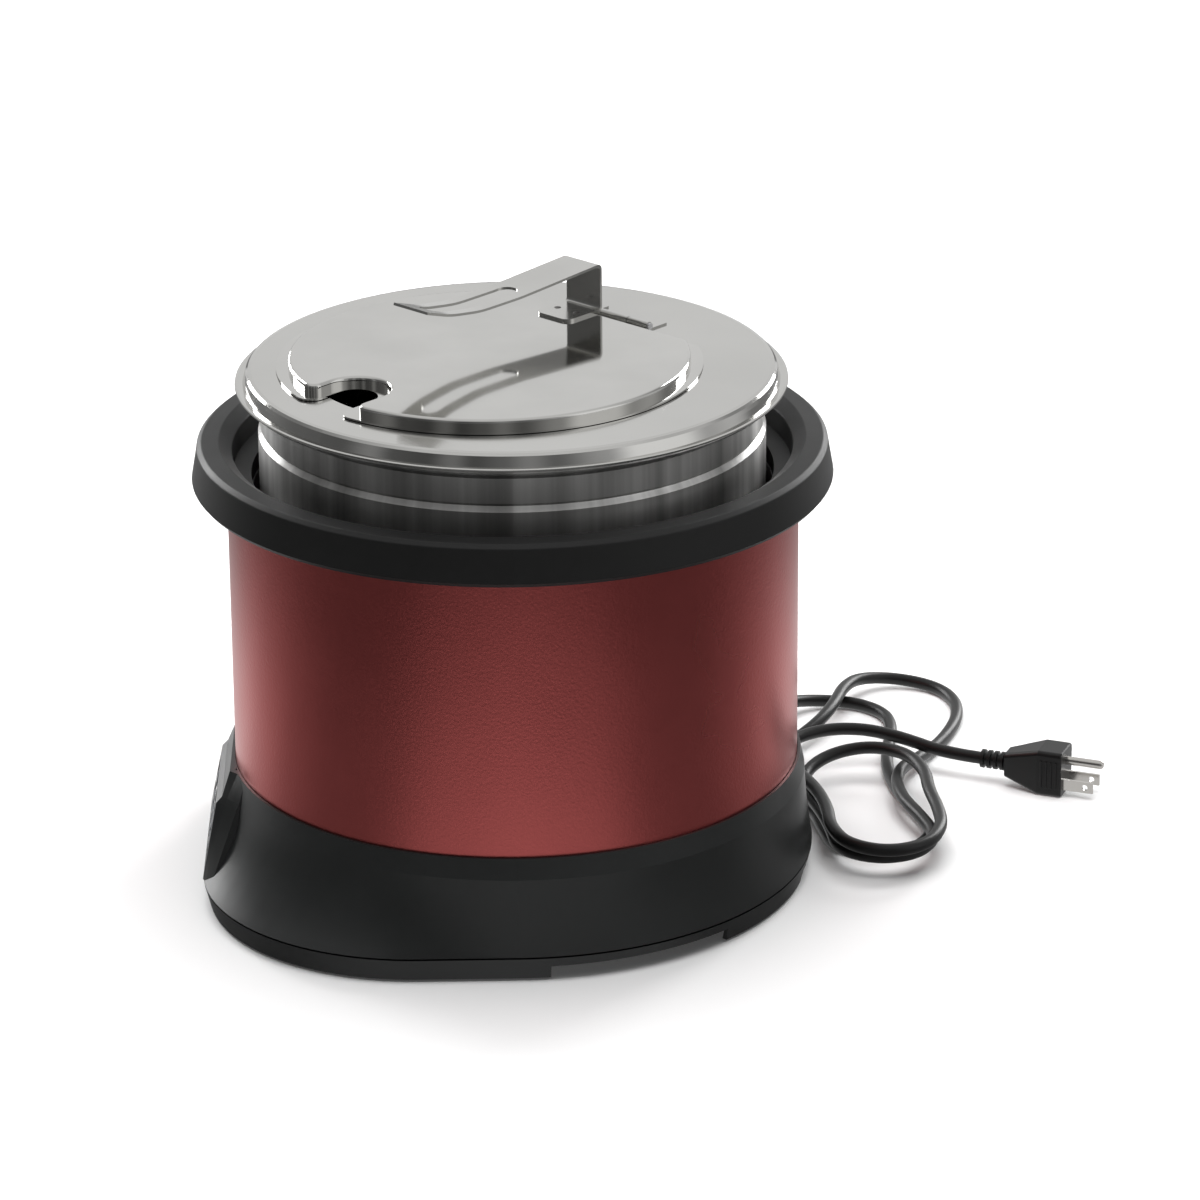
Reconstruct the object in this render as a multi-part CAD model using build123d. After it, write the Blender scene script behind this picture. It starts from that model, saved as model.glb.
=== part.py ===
"""Countertop induction rethermalizer: black base, red jacket, thick top ring, lift-out vessel, hinged lid.

Millimetres. +Z is up, the table is z = 0, the axis of the round body is x = y = 0.
The control panel faces -Y, the back is +Y.
"""

import os
from math import atan2, cos, degrees, hypot, pi, radians, sin, sqrt, tan

from build123d import *

# General
CLEAR = 0.3            # running or drop-in clearance between separate pieces
SHEET = 0.9            # stainless sheet of the vessel, lid and flap
WALL = 3.0             # moulded plastic wall

# Bottom pan and feet
FOOT_GROUND = 1.5      # height of the pan's skirt over the table
FOOT_R = 11.0
FOOT_PCR = 122.0       # radius on which the four feet stand
FOOT_AZIMUTHS = (38.0, 142.0, 218.0, 322.0)
PAN_TOP = 13.5         # upper face of the pan's floor
PAN_FLOOR = 2.5
PAN_TAPER = 3.0        # how far the skirt draws in at its lower edge
PAN_LIP = 4.0          # height of the lip that enters the base shell
PAN_LIP_T = 1.6
PAN_SCREW_IN = 13.5    # distance of the pan screws from the seam
PAN_SCREW_AZIMUTHS = (62.0, 118.0, 180.0, 242.0, 298.0, 0.0)
BOSS_R = 4.5           # boss that takes a pan screw
ARCH_TOP = 8.5         # crown of the air arches in the skirt
ARCHES = ((25.0, 38.0), (155.0, 38.0), (90.0, 30.0))   # azimuth of the middle, angle spanned

# Base shell
SEAM_GAP = 1.0         # shadow gap between pan and shell
SEAM_R = 158.5         # back and sides of the base at the seam
FRONT_Y = 167.0        # flat front of the base at the seam
CORNER_R = 115.5       # plan radius of the front corners
SHELL_DRAW = 0.85      # how far the shell draws in for each millimetre of height at the seam
CREASE_Z = 56.0
CREASE_R = 154.2       # soft edge under the collar
WAIST_Z = 38.0
WAIST_SHARE = 0.24     # how far the flare has gone at the waist
WAIST_OUT = 0.24       # how far the waist stands out over the soft edge
COLLAR_TOP = 67.0
COLLAR_R = 151.9
LEDGE_TOP = 60.0       # ledge inside the collar, which carries jacket and well
LEDGE_T = 3.0
LEDGE_R = 132.0        # bore of the ledge

# Front console, half widths and depths at its heights
CONSOLE_BROW_Z = 55.5
CONSOLE_LIP_Z = 52.0
CONSOLE_BROW_Y = 156.3
CONSOLE_LIP_Y = 159.5
CONSOLE_TOP_Y = 152.1
CONSOLE_FOOT_HALF = 54.0
CONSOLE_LIP_HALF = 39.5
CONSOLE_TOP_HALF = 32.0
CONSOLE_BROW_IN = 0.5  # how much narrower the brow is than the lip on each side
# At the foot, lip, brow and top: distances outside the front face's edge and behind the front face
CONSOLE_SIDES = ((4.0, 1.6), (3.5, 4.2), (3.0, 2.8), (4.0, 4.1))
CONSOLE_CHEEKS = ((10.0, 4.4), (10.5, 11.1), (11.0, 9.3), (16.5, 8.7))

# Control panel, in the sloping plane of the console
PANEL_Z = 33.0         # height of the panel's middle
PANEL_W = 76.0
PANEL_H = 28.0
BEZEL_T = 2.4
BEZEL_SINK = 0.9       # how deep the bezel lies under the console's face
OVERLAY_T = 0.5
DISPLAY_W = 25.0
DISPLAY_H = 11.0
DISPLAY_T = 1.6
ROW_UP = 5.5           # upper row: power key, display, arrow keys
ROW_DOWN = -7.5        # lower row: four preset keys
KEY_R = 4.3
ARROW_X = (19.8, 31.0)
PRESET_W = 14.0
PRESET_H = 6.0
PRESET_PITCH = 18.5
KEY_PROUD = 0.5        # key face over the overlay
KEY_TRAVEL = 1.0
KEY_FLANGE = 1.1       # how far the flange behind the bezel stands out
KEY_FLANGE_T = 1.0
KEY_GUIDE = 0.3        # gap round a key in its hole
BOARD_GAP = 2.2        # free depth behind the key flanges

# Jacket
JACKET_R = 150.2
JACKET_T = 1.0
JACKET_TOP = 229.5

# Top ring
RING_R = 168.4         # widest, near the lower edge
RING_UNDER = 221.6
RING_TOP = 243.9
RING_TOP_R = 165.4
RING_CREST_R = 153.8
RING_MOUTH_R = 147.0
RING_MOUTH_Z = 239.0
RING_SHELF_Z = 227.5
RING_SHELF_IN_Z = 225.6
RING_BORE_R = 137.2
RING_SKIRT_Z = 216.0

# Well
WELL_R = 136.8         # inside of the well
WELL_T = 1.5
WELL_LIP_T = 2.5
WELL_LIP_R = 128.0
SENSOR_R = 9.0

# Sleeve of insulation
SLEEVE_IN = 138.6
SLEEVE_OUT = 148.4
SLEEVE_TOP = 208.0

# Induction heater
COIL_IN = 28.0
COIL_OUT = 105.0
COIL_T = 3.9
COIL_TURNS = 8
FORMER_R = 136.0
FORMER_T = 2.8
FORMER_RISE = 1.3
BAR_L = 62.0
BAR_W = 12.0
BAR_T = 5.0
BAR_COUNT = 6
BAR_MID_R = 74.0

# Electronics on the pan
POST_H = 6.0
POST_R = 4.0
BOARD_T = 1.6
POWER_BOARD = (120.0, 86.0)
POWER_BOARD_X = -42.0
POWER_BOARD_Y = -20.0
BOARD_HOLE_INSET = 5.0
SINK_SIZE = (64.0, 40.0, 20.0)
SINK_FINS = 8
SINK_FIN_T = 1.6
SINK_BASE_T = 4.0
SINK_XY = (-62.0, -32.0)
CAN_R = 8.0
CAN_H = 20.0
CAN_PITCH = 20.0
CAN_XY = (-5.0, 8.0)
CHOKE_SIZE = (26.0, 22.0, 18.0)
CHOKE_XY = (-5.0, -42.0)
SCREW_R = 1.6
SCREW_HEAD_R = 3.4
SCREW_HEAD_H = 2.0

# Fan on the pan
FAN_X = 66.0
FAN_Y = 22.0
FAN_SIDE = 80.0
FAN_H = 22.0
FAN_BORE_R = 37.5
FAN_TIP_R = 36.6
FAN_HUB_R = 16.0
FAN_BLADES = 7
FAN_BLADE_T = 1.4
FAN_BLADE_CHORD = 15.0
FAN_BLADE_TILT = 36.0
FAN_SPIDER_T = 2.5
FAN_AXLE_R = 2.0
FAN_HOLE_OFFSET = 35.8
GRILLE_SLOTS = 9
GRILLE_PITCH = 7.4
GRILLE_SLOT_W = 3.4

# Vessel
VESSEL_R = 133.0
VESSEL_FLOOR = 67.8
VESSEL_CORNER = 14.0
NECK_R = 131.8
NECK_Z = 251.6
NECK_GROOVE = 0.9      # depth of the groove at the neck
NECK_HALF = 1.4        # half height of that groove
VESSEL_LIP_Z = 266.5
VESSEL_RIM_R = 141.5

# Lid, drawn with its front towards +X and turned to its place afterwards
LID_AZIMUTH = -44.0
LID_R = 144.5
LID_RIM_Z = 274.6
LID_FLANGE_R = 140.4
LID_TOP = 282.5
LID_SHOULDER_R = 135.6
LID_SKIRT_R = 129.4
LID_SKIRT_Z = 266.8
OPENING_R = 97.0       # opening in the lid under the flap
OPENING_BACK = -64.0

# Flap
FLAP_X = 8.0
FLAP_Y = -8.0
FLAP_R = 111.5
FLAP_BACK = -83.0
FLAP_LIFT = 0.3
PLATEAU_MARGIN = 6.5
PLATEAU_RISE = 4.6
PLATEAU_EDGE = 1.9
NOTCH_X = 94.0
NOTCH_Y = -20.5
NOTCH_R = 11.5
NOTCH_FLARE = 8.0

# Hinge
HINGE_X = -86.6
HINGE_LEFT = -38.0
HINGE_RIGHT = 18.0
KNUCKLE_R = 2.3
PIN_R = 1.1
PIN_FIT = 0.05
PIN_RUN = 0.15
KNUCKLE_GAP = 0.4

# Handle, a bent strap over the flap
HANDLE_Y = -23.0
HANDLE_POST_X = -80.5
HANDLE_W = 24.5
HANDLE_T = 1.4
HANDLE_FOOT_L = 26.0
HANDLE_BEND = 2.4
HANDLE_RISE = 26.7
HANDLE_DIP = 3.2
HANDLE_CURL = 5.4
HANDLE_FOOT_R = 5.0
HANDLE_TIP_L = 131.0
HANDLE_DIP_SHARES = (0.47, 0.70, 0.87)   # start of the dip, its end and the upturn, along the grip
HANDLE_SWEEP_R = (160.0, 90.0, 70.0)     # radii of the grip's soft bends
SLOT_START = 54.0
SLOT_END = 122.0
SLOT_W = 12.0

# Cord and plug
CORD_D = 7.0
GLAND_AZIMUTH = 135.0
GLAND_Z = 27.5
GLAND_L = 24.0
GLAND_ROOT_R = 7.0
GLAND_TIP_R = 4.6
GLAND_FLANGE_R = 9.0
GLAND_FLANGE_T = 2.2
GLAND_SINK = 1.6       # depth of the gland's origin behind the seam's radius
GLAND_CATCH = 5.0      # depth of the inner flange behind that origin
GLAND_CATCH_T = 2.0
GLAND_RIBS = 4
PLUG_W = 26.0
PLUG_H = 21.0
PLUG_L = 34.0
PLUG_NECK_W = 14.0
PLUG_NECK_H = 13.0
PLUG_NECK_L = 20.0
RELIEF_L = 15.0
RELIEF_R = 5.2
RELIEF_RIBS = 4
BLADE_L = 17.5
BLADE_W = 6.35
BLADE_T = 1.5
BLADE_SPACING = 12.7
GROUND_R = 2.38
GROUND_L = 21.4
GROUND_OFFSET = 11.9
BLADE_HOLE_R = 1.6
BLADE_HOLE_BACK = 4.6
PIN_IN = 6.0           # how far the pins reach into the plug
BEND_SHARE = 0.45      # share of the shorter run that a bend of the cord takes up
GAP_STEP = 4.0         # spacing of the points on which the cord's gap to itself is measured
GAP_SKIP = 45.0        # neighbouring stretch that this measure leaves out

# Heights and places that follow from the sizes above
PAN_UNDER = PAN_TOP - PAN_FLOOR
PAN_LIP_IN = WALL + CLEAR + PAN_LIP * SHELL_DRAW
PAN_SCREW_R = SEAM_R - PAN_SCREW_IN
SHELL_FOOT = PAN_TOP + SEAM_GAP
CONSOLE_HEIGHTS = (SHELL_FOOT, CONSOLE_LIP_Z, CONSOLE_BROW_Z, COLLAR_TOP)
CORNER_X = SEAM_R - CORNER_R
CORNER_Y = -(FRONT_Y - CORNER_R)
COLLAR_BORE_R = JACKET_R + CLEAR
JACKET_IN_R = JACKET_R - JACKET_T
SLOT_TOP = JACKET_TOP + CLEAR
WELL_OUT_R = WELL_R + WELL_T
WELL_FLOOR_Z = LEDGE_TOP + WELL_LIP_T
WELL_TOP = RING_SKIRT_Z
FORMER_TOP = LEDGE_TOP - LEDGE_T
FORMER_UNDER = FORMER_TOP - FORMER_T
COIL_Z = FORMER_TOP + FORMER_RISE
BOARD_Z = PAN_TOP + POST_H
BOARD_TOP = BOARD_Z + BOARD_T
VESSEL_RIM_Z = LID_RIM_Z - 0.4 - CLEAR
FLAP_Z = LID_TOP + FLAP_LIFT
PLATEAU_Z = FLAP_Z + SHEET + PLATEAU_RISE
HINGE_Z = LID_TOP + KNUCKLE_R + 0.2
PANEL_SLOPE = (FRONT_Y - CONSOLE_LIP_Y) / (CONSOLE_LIP_Z - SHELL_FOOT)
PANEL_Y = -(CONSOLE_LIP_Y + (CONSOLE_LIP_Z - PANEL_Z) * PANEL_SLOPE)
BEZEL_BACK = BEZEL_SINK + BEZEL_T
KEY_FLANGE_BACK = BEZEL_BACK + CLEAR + KEY_FLANGE_T
BOARD_FACE = KEY_FLANGE_BACK + BOARD_GAP


def polar(radius, azimuth):
    """Plan point at a radius and an azimuth in degrees from +X."""
    return radius * cos(radians(azimuth)), radius * sin(radians(azimuth))


def disc(radius, bottom, top, x=0.0, y=0.0):
    """Upright round bar between two heights."""
    return Pos(x, y, bottom) * extrude(Circle(radius), top - bottom)


def pipe(inner, outer, bottom, top, x=0.0, y=0.0):
    """Upright tube between two heights."""
    return Pos(x, y, bottom) * extrude(Circle(outer) - Circle(inner), top - bottom)


def block(size, bottom, x=0.0, y=0.0):
    """Box standing on a height, centred in plan."""
    return Pos(x, y, bottom + size[2] / 2) * Box(*size)


def turned(points):
    """Body turned about Z from a closed list of (radius, height) points."""
    outline = make_face(Plane.XZ * Polyline(*points, close=True))
    return revolve(outline, Axis.Z)


def base_plan(z, share, round_r, inset=0.0):
    """Plan of the base: share 0 is a circle, share 1 the seam's outline with its squared front."""
    seam = SEAM_R - inset
    front = FRONT_Y - inset
    corner = CORNER_R - inset
    circle = round_r - inset
    diagonal = corner * sqrt(0.5)
    corners = [(seam, 0.0), (-seam, 0.0), (-seam, CORNER_Y), (-CORNER_X, -front), (CORNER_X, -front),
               (seam, CORNER_Y)]
    middles = [(0.0, seam), (-seam, CORNER_Y / 2), (-CORNER_X - diagonal, CORNER_Y - diagonal),
               (0.0, -front), (CORNER_X + diagonal, CORNER_Y - diagonal), (seam, CORNER_Y / 2)]

    def mixed(point):
        away = hypot(*point)
        return (point[0] * (share + (1 - share) * circle / away),
                point[1] * (share + (1 - share) * circle / away))

    straight = {1, 3, 5} if share == 1.0 else set()
    edges = []
    for i, middle in enumerate(middles):
        start = mixed(corners[i])
        end = mixed(corners[(i + 1) % 6])
        if i in straight:
            edges.append(Line(start, end))
        else:
            edges.append(ThreePointArc(start, mixed(middle), end))
    return Pos(0, 0, z) * make_face(Wire(edges))


def console_plan(z, inset=0.0):
    """Plan of the console at one of its four heights: front face, side faces and cheeks."""
    level = CONSOLE_HEIGHTS.index(z)
    half = (CONSOLE_FOOT_HALF, CONSOLE_LIP_HALF, CONSOLE_LIP_HALF - CONSOLE_BROW_IN, CONSOLE_TOP_HALF)[level]
    front = (FRONT_Y, CONSOLE_LIP_Y, CONSOLE_BROW_Y, CONSOLE_TOP_Y)[level]
    side_out, side_back = CONSOLE_SIDES[level]
    cheek_out, cheek_back = CONSOLE_CHEEKS[level]
    cheek_x = half + cheek_out - inset
    right = [(half - inset / 2, -front + inset), (half + side_out - inset / 2, side_back - front + inset),
             (cheek_x, cheek_back - front + inset), (cheek_x, -WELL_OUT_R)]
    left = [(-x, y) for x, y in reversed(right)]
    return Pos(0, 0, z) * make_face(Polyline(*right, *left, close=True))


def shell_mass(inset=0.0):
    """The base shell's outer form, or the same form drawn in by a wall."""
    collar = loft([base_plan(CREASE_Z, 0.0, CREASE_R, inset), base_plan(COLLAR_TOP, 0.0, COLLAR_R, inset)],
                  ruled=True)
    waist_r = CREASE_R + WAIST_OUT
    flare = loft([base_plan(SHELL_FOOT, 1.0, SEAM_R, inset), base_plan(WAIST_Z, WAIST_SHARE, waist_r, inset),
                  base_plan(CREASE_Z, 0.0, CREASE_R, inset)])
    console = loft([console_plan(z, inset) for z in CONSOLE_HEIGHTS], ruled=True)
    return flare + collar + console


def panel_plane(depth):
    """Plane of the control panel at a depth behind the console's face; x runs along +X, y up the slope."""
    lean = atan2(PANEL_SLOPE, 1.0)
    normal = (0.0, -cos(lean), sin(lean))
    origin = (0.0, PANEL_Y + depth * cos(lean), PANEL_Z - depth * sin(lean))
    return Plane(origin=origin, x_dir=(1, 0, 0), z_dir=normal)


def on_panel(sketch, depth, thickness):
    """Sketch in the panel's plane, extruded inwards from a depth."""
    return extrude(panel_plane(depth) * sketch, -thickness)


def key_shapes():
    """Name, plan shape and place of each key on the panel."""
    presets = [("preset_key_%d" % (i + 1), "bar", (PRESET_PITCH * (i - 1.5), ROW_DOWN)) for i in range(4)]
    return [("power_key", "round", (-(ARROW_X[0] + ARROW_X[1]) / 2, ROW_UP)),
            ("down_key", "round", (ARROW_X[0], ROW_UP)),
            ("up_key", "round", (ARROW_X[1], ROW_UP))] + presets


def key_sketch(shape, place, grow=0.0):
    """Outline of a key, or of its hole or flange when grown."""
    if shape == "round":
        return Pos(*place) * Circle(KEY_R + grow)
    height = PRESET_H + 2 * grow
    return Pos(*place) * RectangleRounded(PRESET_W + 2 * grow, height, height * 0.3)


def make_bottom_pan():
    """Floor with a tapered skirt, air arches, grille, posts and a lip that centres the shell."""
    skirt = loft([base_plan(FOOT_GROUND, 1.0, SEAM_R, PAN_TAPER), base_plan(PAN_TOP, 1.0, SEAM_R, 0.0)], ruled=True)
    hollow = loft([base_plan(FOOT_GROUND - 1.0, 1.0, SEAM_R, PAN_TAPER + WALL),
                   base_plan(PAN_UNDER, 1.0, SEAM_R, WALL + 0.5)], ruled=True)
    pan = skirt - hollow
    lip = base_plan(PAN_TOP, 1.0, SEAM_R, PAN_LIP_IN) - base_plan(PAN_TOP, 1.0, SEAM_R, PAN_LIP_IN + PAN_LIP_T)
    pan += extrude(lip, PAN_LIP)
    for azimuth, span in ARCHES:
        start = polar(SEAM_R * 1.3, azimuth - span / 2)
        end = polar(SEAM_R * 1.3, azimuth + span / 2)
        wedge = make_face(Polyline((0, 0), start, polar(SEAM_R * 1.6, azimuth), end, close=True))
        pan -= Pos(0, 0, -1.0) * extrude(wedge - Circle(SEAM_R - 16.0), ARCH_TOP + 1.0)
    for azimuth in FOOT_AZIMUTHS:
        x, y = polar(FOOT_PCR, azimuth)
        pan += pipe(FOOT_R + CLEAR, FOOT_R + CLEAR + 1.5, PAN_UNDER - 5.0, PAN_UNDER, x, y)
    for x, y in board_holes():
        pan += pipe(SCREW_R, POST_R, PAN_TOP, BOARD_Z, x, y)
    for i in range(GRILLE_SLOTS):
        y = FAN_Y + GRILLE_PITCH * (i - (GRILLE_SLOTS - 1) / 2)
        half = sqrt(FAN_BORE_R ** 2 - (y - FAN_Y) ** 2) - 3.0
        pan -= Pos(FAN_X, y, PAN_UNDER - 1) * extrude(SlotOverall(2 * half, GRILLE_SLOT_W), PAN_FLOOR + 2)
        pan -= Pos(-FAN_X, y, PAN_UNDER - 1) * extrude(SlotOverall(24.0, GRILLE_SLOT_W), PAN_FLOOR + 2)
    for x, y in pan_screw_places():
        pan -= disc(SCREW_R + 0.3, PAN_UNDER - 1, PAN_TOP + 1, x, y)
    return pan


def pan_screw_places():
    """Six screws that hold the pan to the shell's bosses."""
    return [polar(PAN_SCREW_R, azimuth) for azimuth in PAN_SCREW_AZIMUTHS]


def make_feet():
    """Four rubber feet in the pan's cups."""
    foot = disc(FOOT_R, 0.0, PAN_UNDER)
    foot = fillet(foot.edges().group_by(Axis.Z)[0], 1.5)
    return [Pos(*polar(FOOT_PCR, azimuth), 0) * foot for azimuth in FOOT_AZIMUTHS]


def make_pan_screws():
    """Pan head screws from below into the shell's bosses."""
    screws = []
    for x, y in pan_screw_places():
        head = disc(SCREW_HEAD_R, PAN_UNDER - SCREW_HEAD_H, PAN_UNDER, x, y)
        screws.append(head + disc(SCREW_R, PAN_UNDER, PAN_TOP + 9.0, x, y))
    return screws


def make_base_shell():
    """Moulded shell with collar, ledge, console, panel window, bosses and the hole for the cord's gland."""
    shell = shell_mass() - shell_mass(WALL)
    shell -= disc(COLLAR_BORE_R, LEDGE_TOP, COLLAR_TOP + 1)
    shell += pipe(LEDGE_R, COLLAR_BORE_R, LEDGE_TOP - LEDGE_T, LEDGE_TOP)
    collar_fill = pipe(COLLAR_BORE_R, COLLAR_R - 0.5, LEDGE_TOP - LEDGE_T, COLLAR_TOP)
    shell += collar_fill
    window = Rectangle(PANEL_W + 2 * CLEAR, PANEL_H + 2 * CLEAR)
    shell -= on_panel(window, -4.0, 4.0 + BEZEL_BACK + 3.0)
    rebate = Rectangle(PANEL_W + 8.0, PANEL_H + 6.0) - Rectangle(PANEL_W - 1.4, PANEL_H - 1.4)
    shell += on_panel(rebate, BEZEL_BACK, 1.6)
    for x, y in pan_screw_places():
        shell += pipe(SCREW_R + 0.05, BOSS_R, PAN_TOP, LEDGE_TOP - LEDGE_T, x, y)
    shell -= gland_place() * Pos(0, 0, -12) * extrude(Circle(GLAND_ROOT_R + CLEAR), 40)
    return shell


def gland_place():
    """Frame whose z runs out along the cord's gland, with its origin on the shell's wall."""
    x, y = polar(SEAM_R - GLAND_SINK, GLAND_AZIMUTH)
    direction = (cos(radians(GLAND_AZIMUTH)), sin(radians(GLAND_AZIMUTH)), 0)
    return Plane(origin=(x, y, GLAND_Z), x_dir=(0, 0, 1), z_dir=direction).location


def make_strain_relief():
    """Tapered ribbed sleeve with a flange inside the shell and one outside."""
    inner = -GLAND_CATCH - GLAND_CATCH_T
    face = CLEAR + GLAND_SINK
    profile = [(0, inner), (GLAND_FLANGE_R, inner), (GLAND_FLANGE_R, -GLAND_CATCH), (GLAND_ROOT_R, -GLAND_CATCH),
               (GLAND_ROOT_R, face), (GLAND_FLANGE_R, face), (GLAND_FLANGE_R, face + GLAND_FLANGE_T),
               (GLAND_ROOT_R, face + GLAND_FLANGE_T + 1)]
    start = face + GLAND_FLANGE_T + 1
    pitch = (GLAND_L - start - 1.5) / GLAND_RIBS
    for i in range(GLAND_RIBS):
        radius = GLAND_ROOT_R - 0.6 + (GLAND_TIP_R - GLAND_ROOT_R + 0.6) * (i + 0.5) / GLAND_RIBS
        low = start + pitch * i
        profile += [(radius + 0.5, low + 0.1), (radius + 0.5, low + pitch * 0.6), (radius - 0.7, low + pitch * 0.65),
                    (radius - 0.7, low + pitch * 0.95)]
    profile += [(GLAND_TIP_R, GLAND_L - 1.4), (GLAND_TIP_R, GLAND_L), (0, GLAND_L)]
    sleeve = revolve(make_face(Plane.XZ * Polyline(*profile, close=True)), Axis.Z)
    return gland_place() * sleeve


def make_jacket():
    """Painted cylinder standing on the ledge and ending inside the top ring."""
    return pipe(JACKET_IN_R, JACKET_R, LEDGE_TOP, JACKET_TOP)


def make_top_ring():
    """Thick moulded ring: flared outside, chamfered mouth, shelf round the well and a slot for the jacket."""
    points = [
        (RING_BORE_R, RING_SKIRT_Z), (JACKET_IN_R - CLEAR, RING_SKIRT_Z), (JACKET_IN_R - CLEAR, SLOT_TOP),
        (COLLAR_BORE_R, SLOT_TOP), (COLLAR_BORE_R, RING_UNDER), (RING_R - 1.8, RING_UNDER),
        (RING_R, RING_UNDER + 2.2), (RING_TOP_R, RING_TOP - 2.6), (RING_TOP_R - 2.4, RING_TOP - 0.5),
        (RING_CREST_R, RING_TOP), (RING_MOUTH_R, RING_MOUTH_Z), (RING_MOUTH_R - 0.6, RING_SHELF_Z),
        (RING_BORE_R, RING_SHELF_IN_Z),
    ]
    ring = turned(points)
    rims = [e for e in ring.edges() if e.geom_type == GeomType.CIRCLE
            and e.center().Z > RING_MOUTH_Z - 1 and e.radius > RING_MOUTH_R - 0.1]
    return fillet(rims, 1.1)


def make_well_wall():
    """Cylinder round the vessel, with a lip at its foot that carries the well's floor."""
    wall = pipe(WELL_R, WELL_OUT_R, LEDGE_TOP, WELL_TOP)
    return wall + pipe(WELL_LIP_R, WELL_OUT_R, LEDGE_TOP, WELL_FLOOR_Z)


def make_well_floor():
    """Ceramic plate on the lip, with a hole for the temperature sensor."""
    return pipe(SENSOR_R + CLEAR, WELL_R - CLEAR, WELL_FLOOR_Z, VESSEL_FLOOR - CLEAR)


def make_temperature_sensor():
    """Round sensor button in the middle of the well floor, on its stem in the coil former."""
    cap = disc(SENSOR_R, COIL_Z, VESSEL_FLOOR - CLEAR)
    cap = chamfer(cap.edges().group_by(Axis.Z)[-1], 0.8)
    return cap + disc(4.0, FORMER_UNDER - 6, COIL_Z)


def make_insulation_sleeve():
    """Fibre sleeve between well and jacket, standing on the ledge."""
    return pipe(SLEEVE_IN, SLEEVE_OUT, LEDGE_TOP, SLEEVE_TOP)


def make_coil_former():
    """Disc under the ledge with a raised middle that carries the coil."""
    former = pipe(5.0, FORMER_R, FORMER_UNDER, FORMER_TOP) + pipe(5.0, LEDGE_R - 6.0, FORMER_TOP, COIL_Z)
    for i in range(BAR_COUNT):
        former -= Rot(0, 0, 360 * (i + 0.5) / BAR_COUNT) * block((40, 8, 10), FORMER_UNDER - 1, BAR_MID_R, 0)
    return former


def make_induction_coil():
    """Flat copper winding of concentric turns."""
    pitch = (COIL_OUT - COIL_IN) / COIL_TURNS
    points = [(COIL_IN, COIL_Z)]
    for i in range(COIL_TURNS):
        low = COIL_IN + pitch * i
        points += [(low, COIL_Z + COIL_T - 0.8), (low + pitch * 0.2, COIL_Z + COIL_T),
                   (low + pitch * 0.8, COIL_Z + COIL_T)]
    points += [(COIL_OUT, COIL_Z + COIL_T - 0.8), (COIL_OUT, COIL_Z)]
    return turned(points)


def make_ferrite_bars():
    """Radial ferrite bars under the former."""
    bar = block((BAR_L, BAR_W, BAR_T), FORMER_UNDER - BAR_T, BAR_MID_R, 0)
    bar = chamfer(bar.edges().filter_by(Axis.X), 0.6)
    return [Rot(0, 0, 360 * i / BAR_COUNT) * bar for i in range(BAR_COUNT)]


def board_holes():
    """Places of the power board's four screws."""
    half_x = POWER_BOARD[0] / 2 - BOARD_HOLE_INSET
    half_y = POWER_BOARD[1] / 2 - BOARD_HOLE_INSET
    return [(POWER_BOARD_X + sx * half_x, POWER_BOARD_Y + sy * half_y) for sx in (-1, 1) for sy in (-1, 1)]


def make_power_board():
    """Circuit board on the pan's posts."""
    board = block((POWER_BOARD[0], POWER_BOARD[1], BOARD_T), BOARD_Z, POWER_BOARD_X, POWER_BOARD_Y)
    for x, y in board_holes():
        board -= disc(SCREW_R + 0.2, BOARD_Z - 1, BOARD_TOP + 1, x, y)
    return board


def make_board_screws():
    """Screws through the power board into the posts."""
    return [disc(SCREW_HEAD_R, BOARD_TOP, BOARD_TOP + SCREW_HEAD_H, x, y)
            + disc(SCREW_R - 0.05, PAN_TOP + 1.0, BOARD_TOP, x, y) for x, y in board_holes()]


def make_heatsink():
    """Finned aluminium block on the power board."""
    length, width, height = SINK_SIZE
    sink = block((length, width, SINK_BASE_T), BOARD_TOP, *SINK_XY)
    pitch = (width - SINK_FIN_T) / (SINK_FINS - 1)
    for i in range(SINK_FINS):
        y = SINK_XY[1] - width / 2 + SINK_FIN_T / 2 + pitch * i
        sink += block((length, SINK_FIN_T, height - SINK_BASE_T), BOARD_TOP + SINK_BASE_T, SINK_XY[0], y)
    return sink


def make_board_parts():
    """Capacitors and a choke on the power board."""
    parts = []
    for i in range(3):
        can = disc(CAN_R, BOARD_TOP, BOARD_TOP + CAN_H, CAN_XY[0] - CAN_PITCH * i, CAN_XY[1])
        parts.append(chamfer(can.edges().group_by(Axis.Z)[-1], 0.8))
    choke = block(CHOKE_SIZE, BOARD_TOP, *CHOKE_XY)
    parts.append(fillet(choke.edges().filter_by(Axis.Z), 2.0))
    return parts


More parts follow.
